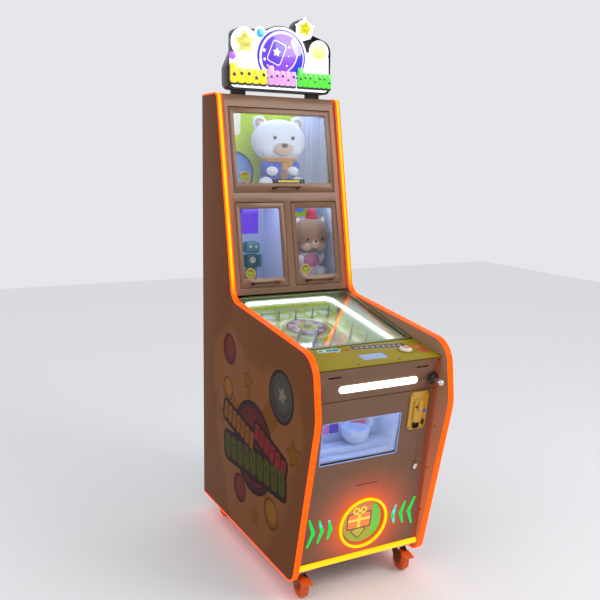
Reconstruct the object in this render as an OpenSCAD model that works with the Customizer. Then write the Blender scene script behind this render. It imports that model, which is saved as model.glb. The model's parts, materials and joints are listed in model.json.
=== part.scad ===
// Prize pinball cabinet: a steep upper cabinet with three prize windows above a
// glazed pin playfield, a lit front door with coin mechanism and prize outlet.
// Front faces -Y, +X is to the player's right, floor at z = 0.

/* [Cabinet] */
// Overall width across the two side panels
cab_w = 560; // [540:1:600]
// Overall depth, edge light to back face
cab_d = 1012; // [1005:1:1030]
// Thickness of a side panel
panel_t = 20; // [18:1:24]
// Lower edge of the side panels above the floor
panel_bottom = 80; // [76:1:84]
// Upper edge of the side panels above the floor
panel_top = 1818; // [1800:1:1850]
// How far the edge light stands proud of the panel's edge
edge_t = 5; // [3:0.5:6]
// Underside of the base board above the floor, which is the caster height
base_z = 105; // [103:1:108]
// Thickness of boards inside the cabinet
board_t = 15; // [12:1:18]

/* [Prize windows] */
// Height of the big prize door
big_door_h = 346; // [330:1:350]
// Height of the two small prize doors
small_door_h = 346; // [330:1:350]
// Distance of the door edges from the centre line
door_half_w = 233; // [228:1:238]
// Width of the post between the small doors
mullion_w = 30; // [26:1:34]
// Thickness of a prize door
door_t = 16; // [14:1:18]
// Spacing of the two feet of a door handle
handle_w = 110; // [90:1:120]
// How far a handle stands out from its door
handle_out = 32; // [28:1:38]

/* [Playfield] */
// Rise of the playfield towards the back, in degrees
field_tilt = 9.4; // [8:0.1:10]
// Length of the playfield along its slope
field_len = 556; // [520:1:560]
// Half the width of the playfield between its walls
field_half_w = 206; // [195:1:206]
// Depth of the playfield floor below its rim
field_depth = 60; // [55:1:65]
// Radius of a playfield post
post_r = 3.5; // [3:0.1:4]
// Height of a playfield post
post_h = 48; // [40:1:50]
// Radius of the ball
ball_r = 11; // [10:0.5:12]
// Rise of the glass towards the back, in degrees
glass_tilt = 12.3; // [12:0.1:12.6]
// Length of the glass frame along its slope
glass_len = 500; // [480:1:502]

/* [Front] */
// How far the front door leans, in degrees
front_lean = 7.75; // [7:0.05:8]
// Radius of the prize outlet flap
flap_r = 84; // [80:1:86]
// Tube radius of the ring light around the outlet
ring_tube_r = 7; // [6:0.5:8]
// Radius of the plunger rod
plunger_r = 6; // [5:0.5:7]
// Travel of the plunger
plunger_travel = 40; // [30:1:45]

/* [Casters] */
// Radius of a caster wheel
wheel_r = 37.5; // [35:0.5:37.5]
// Width of a caster wheel
wheel_w = 30; // [26:1:32]
// Distance of the wheel's axle from the swivel axis
trail = 26; // [20:1:28]

/* [Topper] */
// Depth of the lit sign on the roof
topper_d = 60; // [50:1:80]

/* [Hidden] */
$fn = 48;

half_w = cab_w / 2;
inner = half_w - panel_t;
back_y = cab_d / 2;
skin = 3;
gap = 2;
fine = 0.05;

// ---- side panel outline, as distance from the back face and height ----
nose_over = 2.72;
out_pts = [[back_y, panel_bottom], [back_y - 868, panel_bottom],
    [-back_y - nose_over, 721], [back_y - 988, 935], [back_y - 316, 1014],
    [back_y - 159, panel_top], [back_y, panel_top]];
out_rads = [4, 55, 190, 95, 60, 30, 4];
in_steps = [edge_t, edge_t, edge_t, edge_t, edge_t, edge_t, 0];

function unit(v) = v / norm(v);
function right_of(a, b) = [unit(b - a)[1], -unit(b - a)[0]];
// Moves every edge of a clockwise outline inwards by its own step
function inset(pts, steps) = let(n = len(pts)) [for (i = [0:n - 1])
    let(j = (i + n - 1) % n, k = (i + 1) % n,
        na = right_of(pts[j], pts[i]), nb = right_of(pts[i], pts[k]),
        da = steps[j], db = steps[i], c = na * nb)
    pts[i] + (da * na + db * nb - c * (db * na + da * nb)) / (1 - c * c)];
// Replaces each corner by an arc of its own radius
function rounded(pts, rads, steps = 8) = let(n = len(pts)) [for (i = [0:n - 1])
    let(p = pts[i], u = unit(pts[(i + n - 1) % n] - p), v = unit(pts[(i + 1) % n] - p),
        half = acos(u * v) / 2, r = rads[i], c = p + unit(u + v) * r / sin(half),
        s = p + u * r / tan(half) - c, e = p + v * r / tan(half) - c,
        a = atan2(s[1], s[0]), turn = (atan2(e[1], e[0]) - a + 540) % 360 - 180)
    for (k = [0:steps]) c + r * [cos(a + turn * k / steps), sin(a + turn * k / steps)]];

panel_outline = rounded(out_pts, out_rads);
panel_edge = rounded(inset(out_pts, in_steps),
    [2, 50, 185, 90, 65, 25, 2]);

// ---- upper front: a plane set back from the slope of the panels ----
slope_a = out_pts[5];
slope_b = out_pts[4];
slope_dir = unit(slope_a - slope_b);
slope_lean = atan2(slope_dir[0], slope_dir[1]);
slope_in = 12;
slope_org = slope_a + slope_in * [slope_dir[1], -slope_dir[0]];
frame_t = 18;
big_top = 50;
small_top = 434;
frame_end = 806;
// y of the back of the upper frame at height z
function frame_back(z) = slope_org[0] + (z - slope_org[1]) * tan(slope_lean)
    + frame_t / cos(slope_lean);

// ---- front plane: leans back towards the floor ----
front_org = [back_y - 854, base_z];
// y of the front plane at height z
function front_y(z) = front_org[0] - (z - base_z) * tan(front_lean);
door_low = 35;
door_high = 661;
panel_low = 664;
panel_high = 777;
door_half = 257;
front_t = 16;
win_x = [-209, 115];
win_w = [422, 585];
ring_w = 158;
ring_x = 3;
ring_r = 97;
coin_x = 182;
coin_w = 583;
flap_pin_up = 58;
lock_x = 206;
lock_w = 352;
plunger_x = 228;
plunger_w = 704;

// ---- deck, playfield and glass ----
deck_back = [-283, 907.4];
deck_tilt = 8.1;
deck_len = 172;
deck_t = 3;
button_x = 156;
button_s = 94;
button_r = 24;
field_org = [-288, 897];
glass_org = [-279, 908.5];
lane_x = 228;
lane_half = 12;
lane_drop = 29;

// ---- concealed hinge pins: how far each lies inside its door's edge and face ----
top_gap = 3.5;
// Room behind a prize door, in which its top edge swings back
seat_gap = 0.6;
prize_pin = [3, 4, 2.5];
front_pin = [3, 3, 3];
rear_pin = [2.5, 2.5, 2];
glass_pin = [4.5, 3, 3];

// ---- levels inside ----
shelf_low = 1044;
shelf_high = 1415;
backdrop_y = 480;
roof_z = 1812;

// ---- casters: [x, y] of each swivel axis ----
swivels = [[-220, -290], [220, -290], [-220, 430], [220, 430]];
fork_top = 98;

// ================= placing =================
// Extrudes a (y, z) outline from x0 to x1
module across(x0, x1, pts) translate([x0, 0, 0]) rotate([90, 0, 90])
    linear_extrude(x1 - x0) polygon(pts);
// X right, Y up the slope from the top corner, Z outwards
module on_slope() translate([0, slope_org[0], slope_org[1]])
    rotate([90 - slope_lean, 0, 0]) children();
// X right, Y up the front plane from its foot, Z outwards
module on_front() translate([0, front_org[0], front_org[1]])
    rotate([90 + front_lean, 0, 0]) children();
module on_deck() translate([0, deck_back[0], deck_back[1]])
    rotate([deck_tilt, 0, 0]) children();
module on_field() translate([0, field_org[0], field_org[1]])
    rotate([field_tilt, 0, 0]) children();
module on_glass() translate([0, glass_org[0], glass_org[1]])
    rotate([glass_tilt, 0, 0]) children();
module box(lo, hi) translate(lo) cube(hi - lo);
// Flat plate with round corners, between two heights
module plate(lo, hi, r, z0, z1) translate([0, 0, z0]) linear_extrude(z1 - z0)
    polygon(rounded([[lo[0], lo[1]], [lo[0], hi[1]], [hi[0], hi[1]], [hi[0], lo[1]]],
        [r, r, r, r], 6));

// ================= cabinet =================
module glass_hinge(half, r) on_glass() translate([-half, glass_len - glass_pin[0], -glass_pin[1]])
    rotate([0, 90, 0]) cylinder(r = r, h = 2 * half);
module side_panel(x0) color("sienna") difference() {
    across(x0, x0 + panel_t, panel_edge);
    glass_hinge(inner + 4.5, glass_pin[2] + fine);
}
module left_side_panel() side_panel(-half_w);
module right_side_panel() side_panel(inner);

module edge_lights() color("orangered") for (x0 = [-half_w, inner]) difference() {
    across(x0, x0 + panel_t, panel_outline);
    across(x0 - 1, x0 + panel_t + 1, panel_edge);
}

module base_board() color("dimgray")
    box([-inner, front_y(base_z) + 18, base_z], [inner, back_y - board_t, base_z + board_t]);

module roof_panel() color("rosybrown")
    box([-inner, frame_back(roof_z) + 1, roof_z - board_t], [inner, back_y - board_t, roof_z]);

rear_x = 200;
rear_z = [260, 900];
module back_panel() color("saddlebrown") difference() {
    box([-inner, back_y - board_t, base_z], [inner, back_y, roof_z]);
    box([-rear_x, back_y - board_t - 1, rear_z[0]], [rear_x, back_y + 1, rear_z[1]]);
    // seat and hole of the power inlet
    box([-180, back_y - 2.5, 160], [-120, back_y + 1, 200]);
    box([-174, back_y - board_t - 1, 166], [-126, back_y, 194]);
    vents(1560, 8);
    rear_hinge(rear_z[0] - 8, rear_z[1] + 8, rear_pin[2] + fine);
}
// Slots through a board of the back
module vents(z0, count) for (i = [0:count - 1])
    box([-90, back_y - board_t - 1, z0 + 20 * i], [90, back_y + 1, z0 + 20 * i + 6]);
module rear_hinge(z0, z1, r)
    translate([-rear_x + gap + rear_pin[0], back_y - 1 - rear_pin[1], z0]) cylinder(r = r, h = z1 - z0);

module rear_door() color("peru") {
    difference() {
        box([-rear_x + gap, back_y - board_t, rear_z[0] + gap],
            [rear_x - gap, back_y - 1, rear_z[1] - gap]);
        vents(300, 7);
    }
    // lock barrel
    translate([rear_x - 30, back_y - 0.5, 580]) rotate([90, 0, 0]) cylinder(r = 9, h = 24);
    rear_hinge(rear_z[0] - 6, rear_z[1] + 6, rear_pin[2]);
}

// ================= upper cabinet =================
// Rectangle of a prize door: [x0, x1, top, bottom] down the slope
big_rect = [-door_half_w, door_half_w, big_top, big_top + big_door_h];
left_rect = [-door_half_w, -mullion_w / 2, small_top, small_top + small_door_h];
right_rect = [mullion_w / 2, door_half_w, small_top, small_top + small_door_h];
// Margins of the glass: [side, top, bottom]
big_margin = [22, 25, 38];
small_margin = [21.5, 26, 38];

// Pin along a prize door's top edge
module prize_hinge(r, over, pin_r) translate([r[0] - over, -r[2] - top_gap - prize_pin[0], -prize_pin[1]])
    rotate([0, 90, 0]) cylinder(r = pin_r, h = r[1] - r[0] + 2 * over);

module upper_front_frame() color("tan") on_slope() difference() {
    box([-inner, -frame_end, -frame_t], [inner, -2, 0]);
    for (r = [big_rect, left_rect, right_rect]) {
        box([r[0], -r[3], -door_t], [r[1], -r[2], 1]);
        box([r[0] + 8, -r[3] + 8, -frame_t - 1], [r[1] - 8, -r[2] - 8, 0]);
        prize_hinge(r, 9, prize_pin[2] + fine);
    }
}

module handle(x, y) translate([x, y, 0]) {
    r = 4;
    for (s = [-1, 1]) translate([s * handle_w / 2, 0, 0]) {
        cylinder(r = r, h = handle_out - 10);
        cylinder(r = 8, h = 2);
        translate([-s * 10, 0, handle_out - 10]) rotate([90, 0, 0])
            rotate([0, 0, s > 0 ? 0 : 90]) rotate_extrude(angle = 90)
                translate([10, 0]) circle(r = r);
    }
    translate([-handle_w / 2 + 10, 0, handle_out]) rotate([0, 90, 0])
        cylinder(r = r, h = handle_w - 20);
}

module prize_door(r, m) color("tan") on_slope() {
    difference() {
        union() {
            box([r[0] + gap, -r[3] + gap, seat_gap - door_t], [r[1] - gap, -r[2] - top_gap, 0]);
            prize_hinge(r, 8, prize_pin[2]);
        }
        plate([r[0] + m[0], -r[3] + m[2]], [r[1] - m[0], -r[2] - m[1]], 9, -door_t - 1, 1);
        box([r[0] + m[0] - 6, -r[3] + m[2] - 6, -door_t - 1],
            [r[1] - m[0] + 6, -r[2] - m[1] + 6, -7]);
    }
    handle((r[0] + r[1]) / 2, -r[3] + 18);
}
module prize_window(r, m) color("lightcyan", 0.4) on_slope()
    box([r[0] + m[0] - 5.5, -r[3] + m[2] - 5.5, -11], [r[1] - m[0] + 5.5, -r[2] - m[1] + 5.5, -7]);

module big_prize_door() prize_door(big_rect, big_margin);
module left_prize_door() prize_door(left_rect, small_margin);
module right_prize_door() prize_door(right_rect, small_margin);
module big_prize_window() prize_window(big_rect, big_margin);
module left_prize_window() prize_window(left_rect, small_margin);
module right_prize_window() prize_window(right_rect, small_margin);

// Board whose front edge follows the leaning frame
module sloped_board(x0, x1, z0, z1) across(x0, x1, [[frame_back(z0) + 1, z0],
    [frame_back(z1) + 1, z1], [backdrop_y, z1], [backdrop_y, z0]]);
module prize_shelves() color("whitesmoke") {
    sloped_board(-inner, inner, shelf_low - board_t, shelf_low);
    sloped_board(-inner, inner, shelf_high - board_t, shelf_high);
    sloped_board(-8, 8, shelf_low, shelf_high - board_t);
}
module prize_backdrop() color("greenyellow")
    box([-inner, backdrop_y, shelf_low - board_t], [inner, backdrop_y + 6, roof_z - board_t]);

// Sitting plush animal: body, head, ears and limbs
module plush(c, s, ear_r) translate(c) scale(s) {
    translate([0, 0, 52]) sphere(r = 52, $fn = 24);
    translate([0, -6, 142]) scale([1.3, 1, 1]) sphere(r = 62, $fn = 24);
    for (k = [-1, 1]) {
        translate([k * 55, 0, 190]) sphere(r = ear_r, $fn = 20);
        translate([k * 44, -48, 25]) sphere(r = 24, $fn = 20);
    }
}
module top_plush_prize() color("ghostwhite")
    plush([24, 416, shelf_high + 1], [1.6, 0.92, 1.55], 22);
module bear_plush_prize() color("burlywood")
    plush([162, 375, shelf_low + 1], [1.1, 0.9, 1.35], 18);
module robot_prize() color("teal") translate([-112, 380, shelf_low + 1]) {
    for (k = [-1, 1]) {
        box([k * 16 - 9, -14, 0], [k * 16 + 9, 14, 62]);
        box([k * 40 - 8, -10, 62], [k * 40 + 8, 10, 118]);
    }
    box([-32, -18, 62], [32, 18, 122]);
    box([-34, -24, 122], [34, 24, 176]);
}

// ================= playfield =================
function field_outline(g) = rounded([[-field_half_w + g, g], [-field_half_w + g, field_len - g],
    [field_half_w - g, field_len - g], [field_half_w - g, g]], [3, 42 - g, 42 - g, 3], 8);
wall_t = 6;
// The shooter lane opens into the playfield over this length, ending at lane_end
lane_open = 90;
lane_end = field_len - 60;
lane_floor = -field_depth - lane_drop + 4;

module playfield_board() color("olivedrab") on_field()
    box([-field_half_w - wall_t, -wall_t, -field_depth - 12],
        [field_half_w + wall_t, field_len + wall_t, -field_depth]);

module playfield_surround() color("darkseagreen") on_field() difference() {
    union() {
        box([-inner + gap, -wall_t, -skin], [inner - gap, field_len + 14, 0]);
        box([-field_half_w - wall_t, -wall_t, -field_depth],
            [field_half_w + wall_t, field_len + wall_t, -skin]);
    }
    translate([0, 0, -field_depth - 1]) linear_extrude(field_depth + 2)
        polygon(field_outline(0));
    // mouth of the shooter lane at its far end
    box([field_half_w - 1, lane_end - lane_open, -field_depth - 1],
        [field_half_w + wall_t + 1, lane_end, -skin]);
}

// Posts stand in staggered rows between the disc and the win lanes
post_rows = [[112, 4, 0], [166, 5, 0], [220, 4, 0], [274, 5, 0], [466, 5, 0]];
post_pitch = 78;
module post(x, y) translate([x, y, -field_depth]) {
    cylinder(r = post_r, h = post_h - 9);
    translate([0, 0, post_h - 9]) cylinder(r1 = post_r, r2 = 0.6, h = 9);
    cylinder(r = post_r + 3, h = 4);
}
module playfield_posts() color("silver") on_field() for (row = post_rows)
    for (i = [0:row[1] - 1]) post((i - (row[1] - 1) / 2) * post_pitch, row[0]);

// Win lanes at the front, printed disc, and the shooter lane under the rim
disc_r = 82;
disc_s = 366;
fins = [-140, -84, -28, 28, 84, 140];
module playfield_lanes() color("honeydew") on_field() {
    for (x = fins) box([x - 2, 4, -field_depth], [x + 2, 74, -field_depth + 26]);
    translate([0, disc_s, -field_depth]) cylinder(r = disc_r, h = 5, $fn = 72);
    difference() {
        box([lane_x - lane_half - 4, 1, -field_depth - lane_drop],
            [lane_x + lane_half + 4, field_len, -skin]);
        box([lane_x - lane_half, 0, lane_floor],
            [lane_x + lane_half, field_len - 4, 0]);
        box([lane_x - lane_half - 5, lane_end - lane_open, -field_depth],
            [lane_x, lane_end, 0]);
    }
    // ramp that lifts the ball from the lane to the playfield
    across(lane_x - lane_half, lane_x + lane_half, [[lane_end - 150, lane_floor],
        [lane_end - lane_open, -field_depth], [field_len - 4, -field_depth],
        [field_len - 4, lane_floor]]);
}

module playfield_light() color("white") on_field() translate([0, 0, -18])
    linear_extrude(13) difference() {
        polygon(field_outline(0.5));
        polygon(field_outline(6));
        translate([-field_half_w, -1]) square([2 * field_half_w, 9]);
    }

ball_s = 16;
module game_ball() color("gainsboro") on_field()
    translate([lane_x, ball_s, lane_floor + 0.3 + ball_r]) sphere(r = ball_r);

module glass_frame() color("darkgray") {
    on_glass() difference() {
        box([-inner + gap, 0, -8], [inner - gap, glass_len, 2]);
        box([-inner + 14, 12, -9], [inner - 14, glass_len - 14, 3]);
        box([-inner + 8, 6, -6], [inner - 8, glass_len - 8, -1]);
    }
    glass_hinge(inner + 4, glass_pin[2]);
}
module playfield_glass() color("lightcyan", 0.3) on_glass()
    box([-inner + 8, 6, -6], [inner - 8, glass_len - 8, -1]);

module deck_panel() color("olive") on_deck() {
    difference() {
        union() {
            box([-inner + gap, -deck_len, -deck_t], [inner - gap, 0, 0]);
            translate([button_x, -button_s, 0]) cylinder(r = button_r + 6, h = 5);
        }
        translate([button_x, -button_s, -10]) cylinder(r = button_r + 0.3, h = 20);
    }
    box([-inner + gap, -deck_len, -6], [inner - gap, -deck_len + 2, -deck_t]);
}
module start_button() color("ivory") on_deck() translate([button_x, -button_s, 0])
    rotate_extrude() polygon([[0, -18], [button_r, -18], [button_r, 6], [button_r - 3, 10],
        [button_r - 8, 13], [button_r - 15, 15], [0, 16]]);

// ================= lower front =================
module front_upper_panel() color("tan") on_front() difference() {
    box([-inner + gap, panel_low, -front_t], [inner - gap, panel_high, 0]);
    box([-inner + 12, panel_low + 3, -front_t - 1], [inner - 12, panel_high - 3, -skin]);
    for (x = [-180, 180]) plate([x - 25, panel_high - 29], [x + 25, panel_high - 23], 2.9, -20, 1);
    translate([plunger_x, plunger_w, -20]) cylinder(r = 13, h = 40);
    front_hinge(panel_low - 1, panel_low + 9, front_pin[2] + fine);
}
// Vertical pin at the front door's left edge
module front_hinge(w0, w1, r) translate([-door_half + front_pin[0], w0, -front_pin[1]])
    rotate([-90, 0, 0]) cylinder(r = r, h = w1 - w0);
module front_light_bar() color("white") on_front()
    plate([-160, plunger_w - 12], [162, plunger_w + 14], 12.9, 0, 5);

module plunger_housing() color("silver") on_front() translate([plunger_x, plunger_w, 0])
    difference() {
        union() {
            cylinder(r = 24, h = 3);
            translate([0, 0, -60]) cylinder(r = 12.7, h = 74);
        }
        translate([0, 0, -61]) cylinder(r = plunger_r + fine, h = 90);
    }
plunger_in = 172;
knob_out = 50;
knob_r = 12.5;
module plunger_rod() color("gainsboro") on_front() translate([plunger_x, plunger_w, 0])
    rotate_extrude() polygon(concat(
        [[0, -plunger_in], [8, -plunger_in], [8, -plunger_in + 14], [plunger_r, -plunger_in + 14],
            [plunger_r, -118], [11, -118], [11, -112], [plunger_r, -112],
            [plunger_r, knob_out - 17], [9, knob_out - 13], [9, knob_out - 10]],
        [for (a = [-45:15:90]) knob_r * [cos(a), sin(a)] + [0, knob_out]]));
module plunger_spring() color("dimgray") on_front() translate([plunger_x, plunger_w, -111])
    difference() {
        cylinder(r = 10, h = 50);
        translate([0, 0, -1]) cylinder(r = 7.5, h = 52);
    }

module front_door() color("tan") on_front() {
    difference() {
        box([-door_half, door_low, -front_t], [door_half, door_high, 0]);
        box([-door_half + 3, door_low + 3, -front_t - 1], [door_half - 3, door_high - 3, -skin]);
        plate([win_x[0], win_w[0]], [win_x[1], win_w[1]], 10, -20, 1);
        translate([ring_x, ring_w, -20]) cylinder(r = flap_r + 3, h = 40, $fn = 72);
        translate([lock_x, lock_w, -20]) cylinder(r = 9.05, h = 40);
        box([-46, 317, -20], [46, 321, 1]);
        box([coin_x - 26, coin_w - 60, -20], [coin_x + 36, coin_w + 60, 1]);
    }
    front_hinge(door_low - 8, door_low + 30, front_pin[2]);
    front_hinge(door_high - 30, panel_low + 8, front_pin[2]);
    // ring behind the outlet, which carries the flap's trunnions
    translate([ring_x, ring_w, 0]) difference() {
        translate([0, 0, -front_t]) cylinder(r = flap_r + 8, h = front_t - skin, $fn = 72);
        translate([0, 0, -front_t - 1]) cylinder(r = flap_r + 3, h = 40, $fn = 72);
        translate([0, flap_pin_up, -8]) rotate([0, 90, 0])
            cylinder(r = 2.5 + fine, h = 135, center = true);
    }
}
module front_door_window() color("lightcyan", 0.4) on_front()
    box([win_x[0] - 10, win_w[0] - 10, -7], [win_x[1] + 10, win_w[1] + 10, -skin]);

// Chevrons: [x of the open end, width, half height], mirrored about the outlet
chevrons = [[229, 32, 57], [187, 26, 46], [147, 21, 39]];
arm = 15;
arm_end = 7;
module door_lights() color("yellow") on_front() {
    translate([ring_x, ring_w, ring_tube_r - 2]) rotate_extrude($fn = 72)
        translate([ring_r, 0]) circle(r = ring_tube_r - 2, $fn = 24);
    for (s = [-1, 1]) translate([0, ring_w + 4, 0]) linear_extrude(1.5) for (c = chevrons)
        polygon([[s * (c[0] - arm_end), c[2]], [s * (c[0] - c[1]), 0],
            [s * (c[0] - arm_end), -c[2]], [s * c[0], -c[2]],
            [s * (c[0] - c[1] + arm), 0], [s * c[0], c[2]]]);
}

module bottom_light() color("yellow") on_front() difference() {
    box([-inner + gap, 14, -8], [inner - gap, 30, 5]);
    front_hinge(24, 32, front_pin[2] + fine);
}

coin_half = [39, 73];
coin_lever_at = [21, -39, -10];
module coin_plate() color("goldenrod") on_front() translate([coin_x, coin_w, 0]) difference() {
    union() {
        plate([-coin_half[0], -coin_half[1]], [coin_half[0], coin_half[1]], 14, 0, 5);
        plate([-22, -44], [16, 46], 12, 5, 12);
        box([-24, -58, -60], [24, 58, 0]);
    }
    box([-10, 2, -20], [-7, 36, 13]);
    translate([28, -3, -30]) cylinder(r = 5.3, h = 40);
    // guide slot of the return lever
    box([17, -52, -40], [25, -33, 13]);
    translate([coin_lever_at[0], coin_lever_at[1], coin_lever_at[2]]) rotate([0, 90, 0])
        cylinder(r = 2.5 + fine, h = 15, center = true);
    for (s = [-1, 1], t = [-1, 1]) translate([s * 31, t * 64, 2]) cylinder(r = 2.2, h = 4);
}
module coin_button() color("blue") on_front() translate([coin_x + 28, coin_w - 3, -6])
    cylinder(r = 5, h = 16);
module coin_lever() color("black") on_front() translate([coin_x, coin_w, 0] + coin_lever_at) {
    rotate([0, 90, 0]) cylinder(r = 2.5, h = 14, center = true);
    box([-3, -4, 0], [3, 4, 22]);
    box([-3, -14, 18], [3, 4, 26]);
}

module door_lock() color("silver") on_front() translate([lock_x, lock_w, 0]) {
    translate([0, 0, -20]) cylinder(r = 9, h = 20);
    cylinder(r = 11, h = 4);
    // cam behind the door
    box([-6, -8, -24], [34, 8, -20]);
}

// The flap hangs on trunnions at the top of the outlet
module prize_flap() color("yellowgreen") on_front() translate([ring_x, ring_w, 0]) {
    translate([0, 0, -11]) cylinder(r = flap_r, h = 6, $fn = 72);
    translate([0, flap_pin_up, -8]) rotate([0, 90, 0]) cylinder(r = 2.5, h = 134, center = true);
}

// ================= inside =================
module prize_chute() color("lavender") {
    // display tray behind the window
    difference() {
        box([-235, -425, 520], [135, -240, 720]);
        box([-230, -430, 526], [130, -245, 721]);
        across(-240, 140, [[-500, 519], [front_y(519) + 30, 519], [front_y(721) + 30, 721], [-500, 721]]);
    }
    // bin behind the outlet
    difference() {
        box([-125, -345, 140], [131, -170, 400]);
        box([-119, -380, 150], [125, -176, 401]);
        across(-240, 140, [[-500, 139], [front_y(139) + 24, 139], [front_y(401) + 24, 401], [-500, 401]]);
    }
}
module cash_box() color("gray") difference() {
    box([145, -320, 121], [245, -150, 330]);
    box([148, -317, 124], [242, -153, 331]);
}
module control_box() color("slategray") {
    box([-120, 300, 121], [120, 440, 240]);
    box([-60, 260, 121], [60, 298, 180]);
}
module power_inlet() color("black") difference() {
    union() {
        box([-179.5, back_y - 2.5, 160.5], [-120.5, back_y, 199.5]);
        box([-173.5, back_y - 34, 166.5], [-126.5, back_y - 2.5, 193.5]);
    }
    box([-162, back_y - 18, 172], [-138, back_y + 1, 188]);
}

// ================= topper =================
topper_y = back_y - 160;
topper_z = 1832;
topper_t = 3;
lobes = [[0, 136, 122], [106, 252, 44]];
back_pts = [[-234, 0], [-236, 84], [-206, 150], [-206, 238], [150, 232], [232, 206], [232, 0]];
back_rads = [24, 40, 30, 26, 12, 50, 24];
face_lobes = [[96, 238, 30], [106, 252, 40], [-163, 182, 58], [-95, 220, 27], [0, 136, 118],
    [174, 170, 46]];
module topper_back(in) {
    polygon(rounded(inset(back_pts, [for (p = back_pts) in]), back_rads - [for (r = back_rads) in], 6));
    for (l = lobes) translate([l[0], l[1]]) circle(r = l[2] - in);
}
module topper_front() {
    for (l = face_lobes) translate([l[0], l[1]]) circle(r = l[2]);
    translate([106, 256]) star(49);
    polygon(rounded([[-226, 8], [-226, 140], [220, 170], [224, 8]], [20, 30, 40, 20], 6));
}
// Stands an (x, z) drawing up at depth y0, growing forwards by h
module upright(y0, h) translate([0, y0, topper_z]) rotate([90, 0, 0])
    linear_extrude(h) children();
module star(r) polygon([for (i = [0:9]) (i % 2 == 0 ? r : r * 0.55)
    * [sin(36 * i), cos(36 * i)]]);
module topper_housing() color("darkslategray") {
    difference() {
        upright(topper_y + topper_d, topper_d) topper_back(0);
        upright(topper_y + topper_d - topper_t, topper_d) topper_back(topper_t);
    }
    // feet on the roof
    for (x = [-170, 170]) box([x - 30, topper_y + 36, roof_z],
        [x + 30, topper_y + topper_d - topper_t, topper_z + 1]);
}
row_blocks = [[-230, -68], [-66, 66], [68, 232]];
module topper_face() color("white") {
    upright(topper_y, 3) topper_front();
    upright(topper_y - 3, 5) {
        translate([0, 136]) circle(r = 108);
        translate([-163, 182]) star(50);
        translate([106, 256]) star(33);
        translate([-95, 222]) circle(r = 17);
        translate([-216, 128]) circle(r = 15);
        translate([174, 170]) circle(r = 32);
    }
    for (b = row_blocks) upright(topper_y - 3, 15)
        polygon(rounded([[b[0], 24], [b[0], 98], [b[1], 98], [b[1], 24]], [12, 12, 12, 12], 6));
}

// ================= casters =================
module caster_plates() color("silver") for (p = swivels) translate([p[0], p[1], 0]) {
    box([-36, -46, base_z - skin], [36, 46, base_z]);
    translate([0, 0, 84]) cylinder(r = 8, h = base_z - 84);
    translate([0, 0, 82]) cylinder(r = 12, h = 5);
}
leg_in = wheel_w / 2 + 1.5;
// Pedal pin: distance in front of the swivel axis, and height
pedal_pin = [46, 73];
module fork_leg(x) translate([x, 0, 0]) rotate([90, 0, 90]) linear_extrude(skin)
    polygon([[16, fork_top - 6], [-24, fork_top - 6], [-34, 78], [-52, 78], [-52, 66],
        [-trail - 14, 48], [-trail - 11, 28], [-trail + 11, 28], [14, 74]]);
module fork(i) color("gray") translate([swivels[i][0], swivels[i][1], 0]) {
    difference() {
        union() {
            translate([0, 0, fork_top - 9]) cylinder(r = 26, h = 9);
            fork_leg(leg_in);
            fork_leg(-leg_in - skin);
        }
        translate([0, 0, 80]) cylinder(r = 8 + fine, h = 30);
        translate([0, 0, 70]) cylinder(r = 12.4, h = 20);
        if (i < 2) translate([-30, -pedal_pin[0], pedal_pin[1]]) rotate([0, 90, 0])
            cylinder(r = 3 + fine, h = 60);
    }
    translate([-leg_in - skin, -trail, wheel_r]) rotate([0, 90, 0])
        cylinder(r = 6, h = 2 * (leg_in + skin));
}
module front_left_fork() fork(0);
module front_right_fork() fork(1);
module rear_left_fork() fork(2);
module rear_right_fork() fork(3);
module wheel(i) color("orangered")
    translate([swivels[i][0] - wheel_w / 2, swivels[i][1] - trail, wheel_r])
    rotate([0, 90, 0]) rotate_extrude($fn = 72) polygon([[6 + fine, 0], [15, 0], [15, 4],
        [26, 4], [28, 0], [wheel_r - 4, 0], [wheel_r, 4], [wheel_r, wheel_w - 4],
        [wheel_r - 4, wheel_w], [28, wheel_w], [26, wheel_w - 4], [15, wheel_w - 4],
        [15, wheel_w], [6 + fine, wheel_w]]);
module front_left_wheel() wheel(0);
module front_right_wheel() wheel(1);
module rear_left_wheel() wheel(2);
module rear_right_wheel() wheel(3);
module pedal(i) color("orangered")
    translate([swivels[i][0], swivels[i][1] - pedal_pin[0], pedal_pin[1]]) {
    rotate([0, 90, 0]) cylinder(r = 3, h = 2 * (leg_in + skin), center = true);
    box([-leg_in + 0.5, -8, -1.5], [leg_in - 0.5, 3, 5]);
    rotate([14, 0, 0]) box([-21, -36, 0], [21, -7, 5]);
}
module front_left_pedal() pedal(0);
module front_right_pedal() pedal(1);

left_side_panel();
right_side_panel();
edge_lights();
base_board();
roof_panel();
back_panel();
rear_door();
upper_front_frame();
prize_shelves();
prize_backdrop();
big_prize_door();
big_prize_window();
left_prize_door();
left_prize_window();
right_prize_door();
right_prize_window();
top_plush_prize();
robot_prize();
bear_plush_prize();
playfield_board();
playfield_surround();
playfield_posts();
playfield_lanes();
playfield_light();
game_ball();
glass_frame();
playfield_glass();
deck_panel();
start_button();
front_upper_panel();
front_light_bar();
plunger_housing();
plunger_rod();
plunger_spring();
front_door();
front_door_window();
coin_plate();
coin_button();
coin_lever();
door_lock();
prize_flap();
door_lights();
bottom_light();
prize_chute();
cash_box();
control_box();
power_inlet();
topper_housing();
topper_face();
caster_plates();
front_left_fork();
front_right_fork();
rear_left_fork();
rear_right_fork();
front_left_wheel();
front_right_wheel();
rear_left_wheel();
rear_right_wheel();
front_left_pedal();
front_right_pedal();
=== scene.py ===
"""Prize pinball cabinet: finishes, prints, lights and prizes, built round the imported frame.

A Face is a flat place on the machine, with x to the right of whoever looks at it, y up it and
z out of it. Flat pieces are modelled in millimetres and laid on a Face, which makes them metres.
Everything else is in metres.
"""

import json
import math

import bpy
from mathutils import Matrix, Vector

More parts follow.
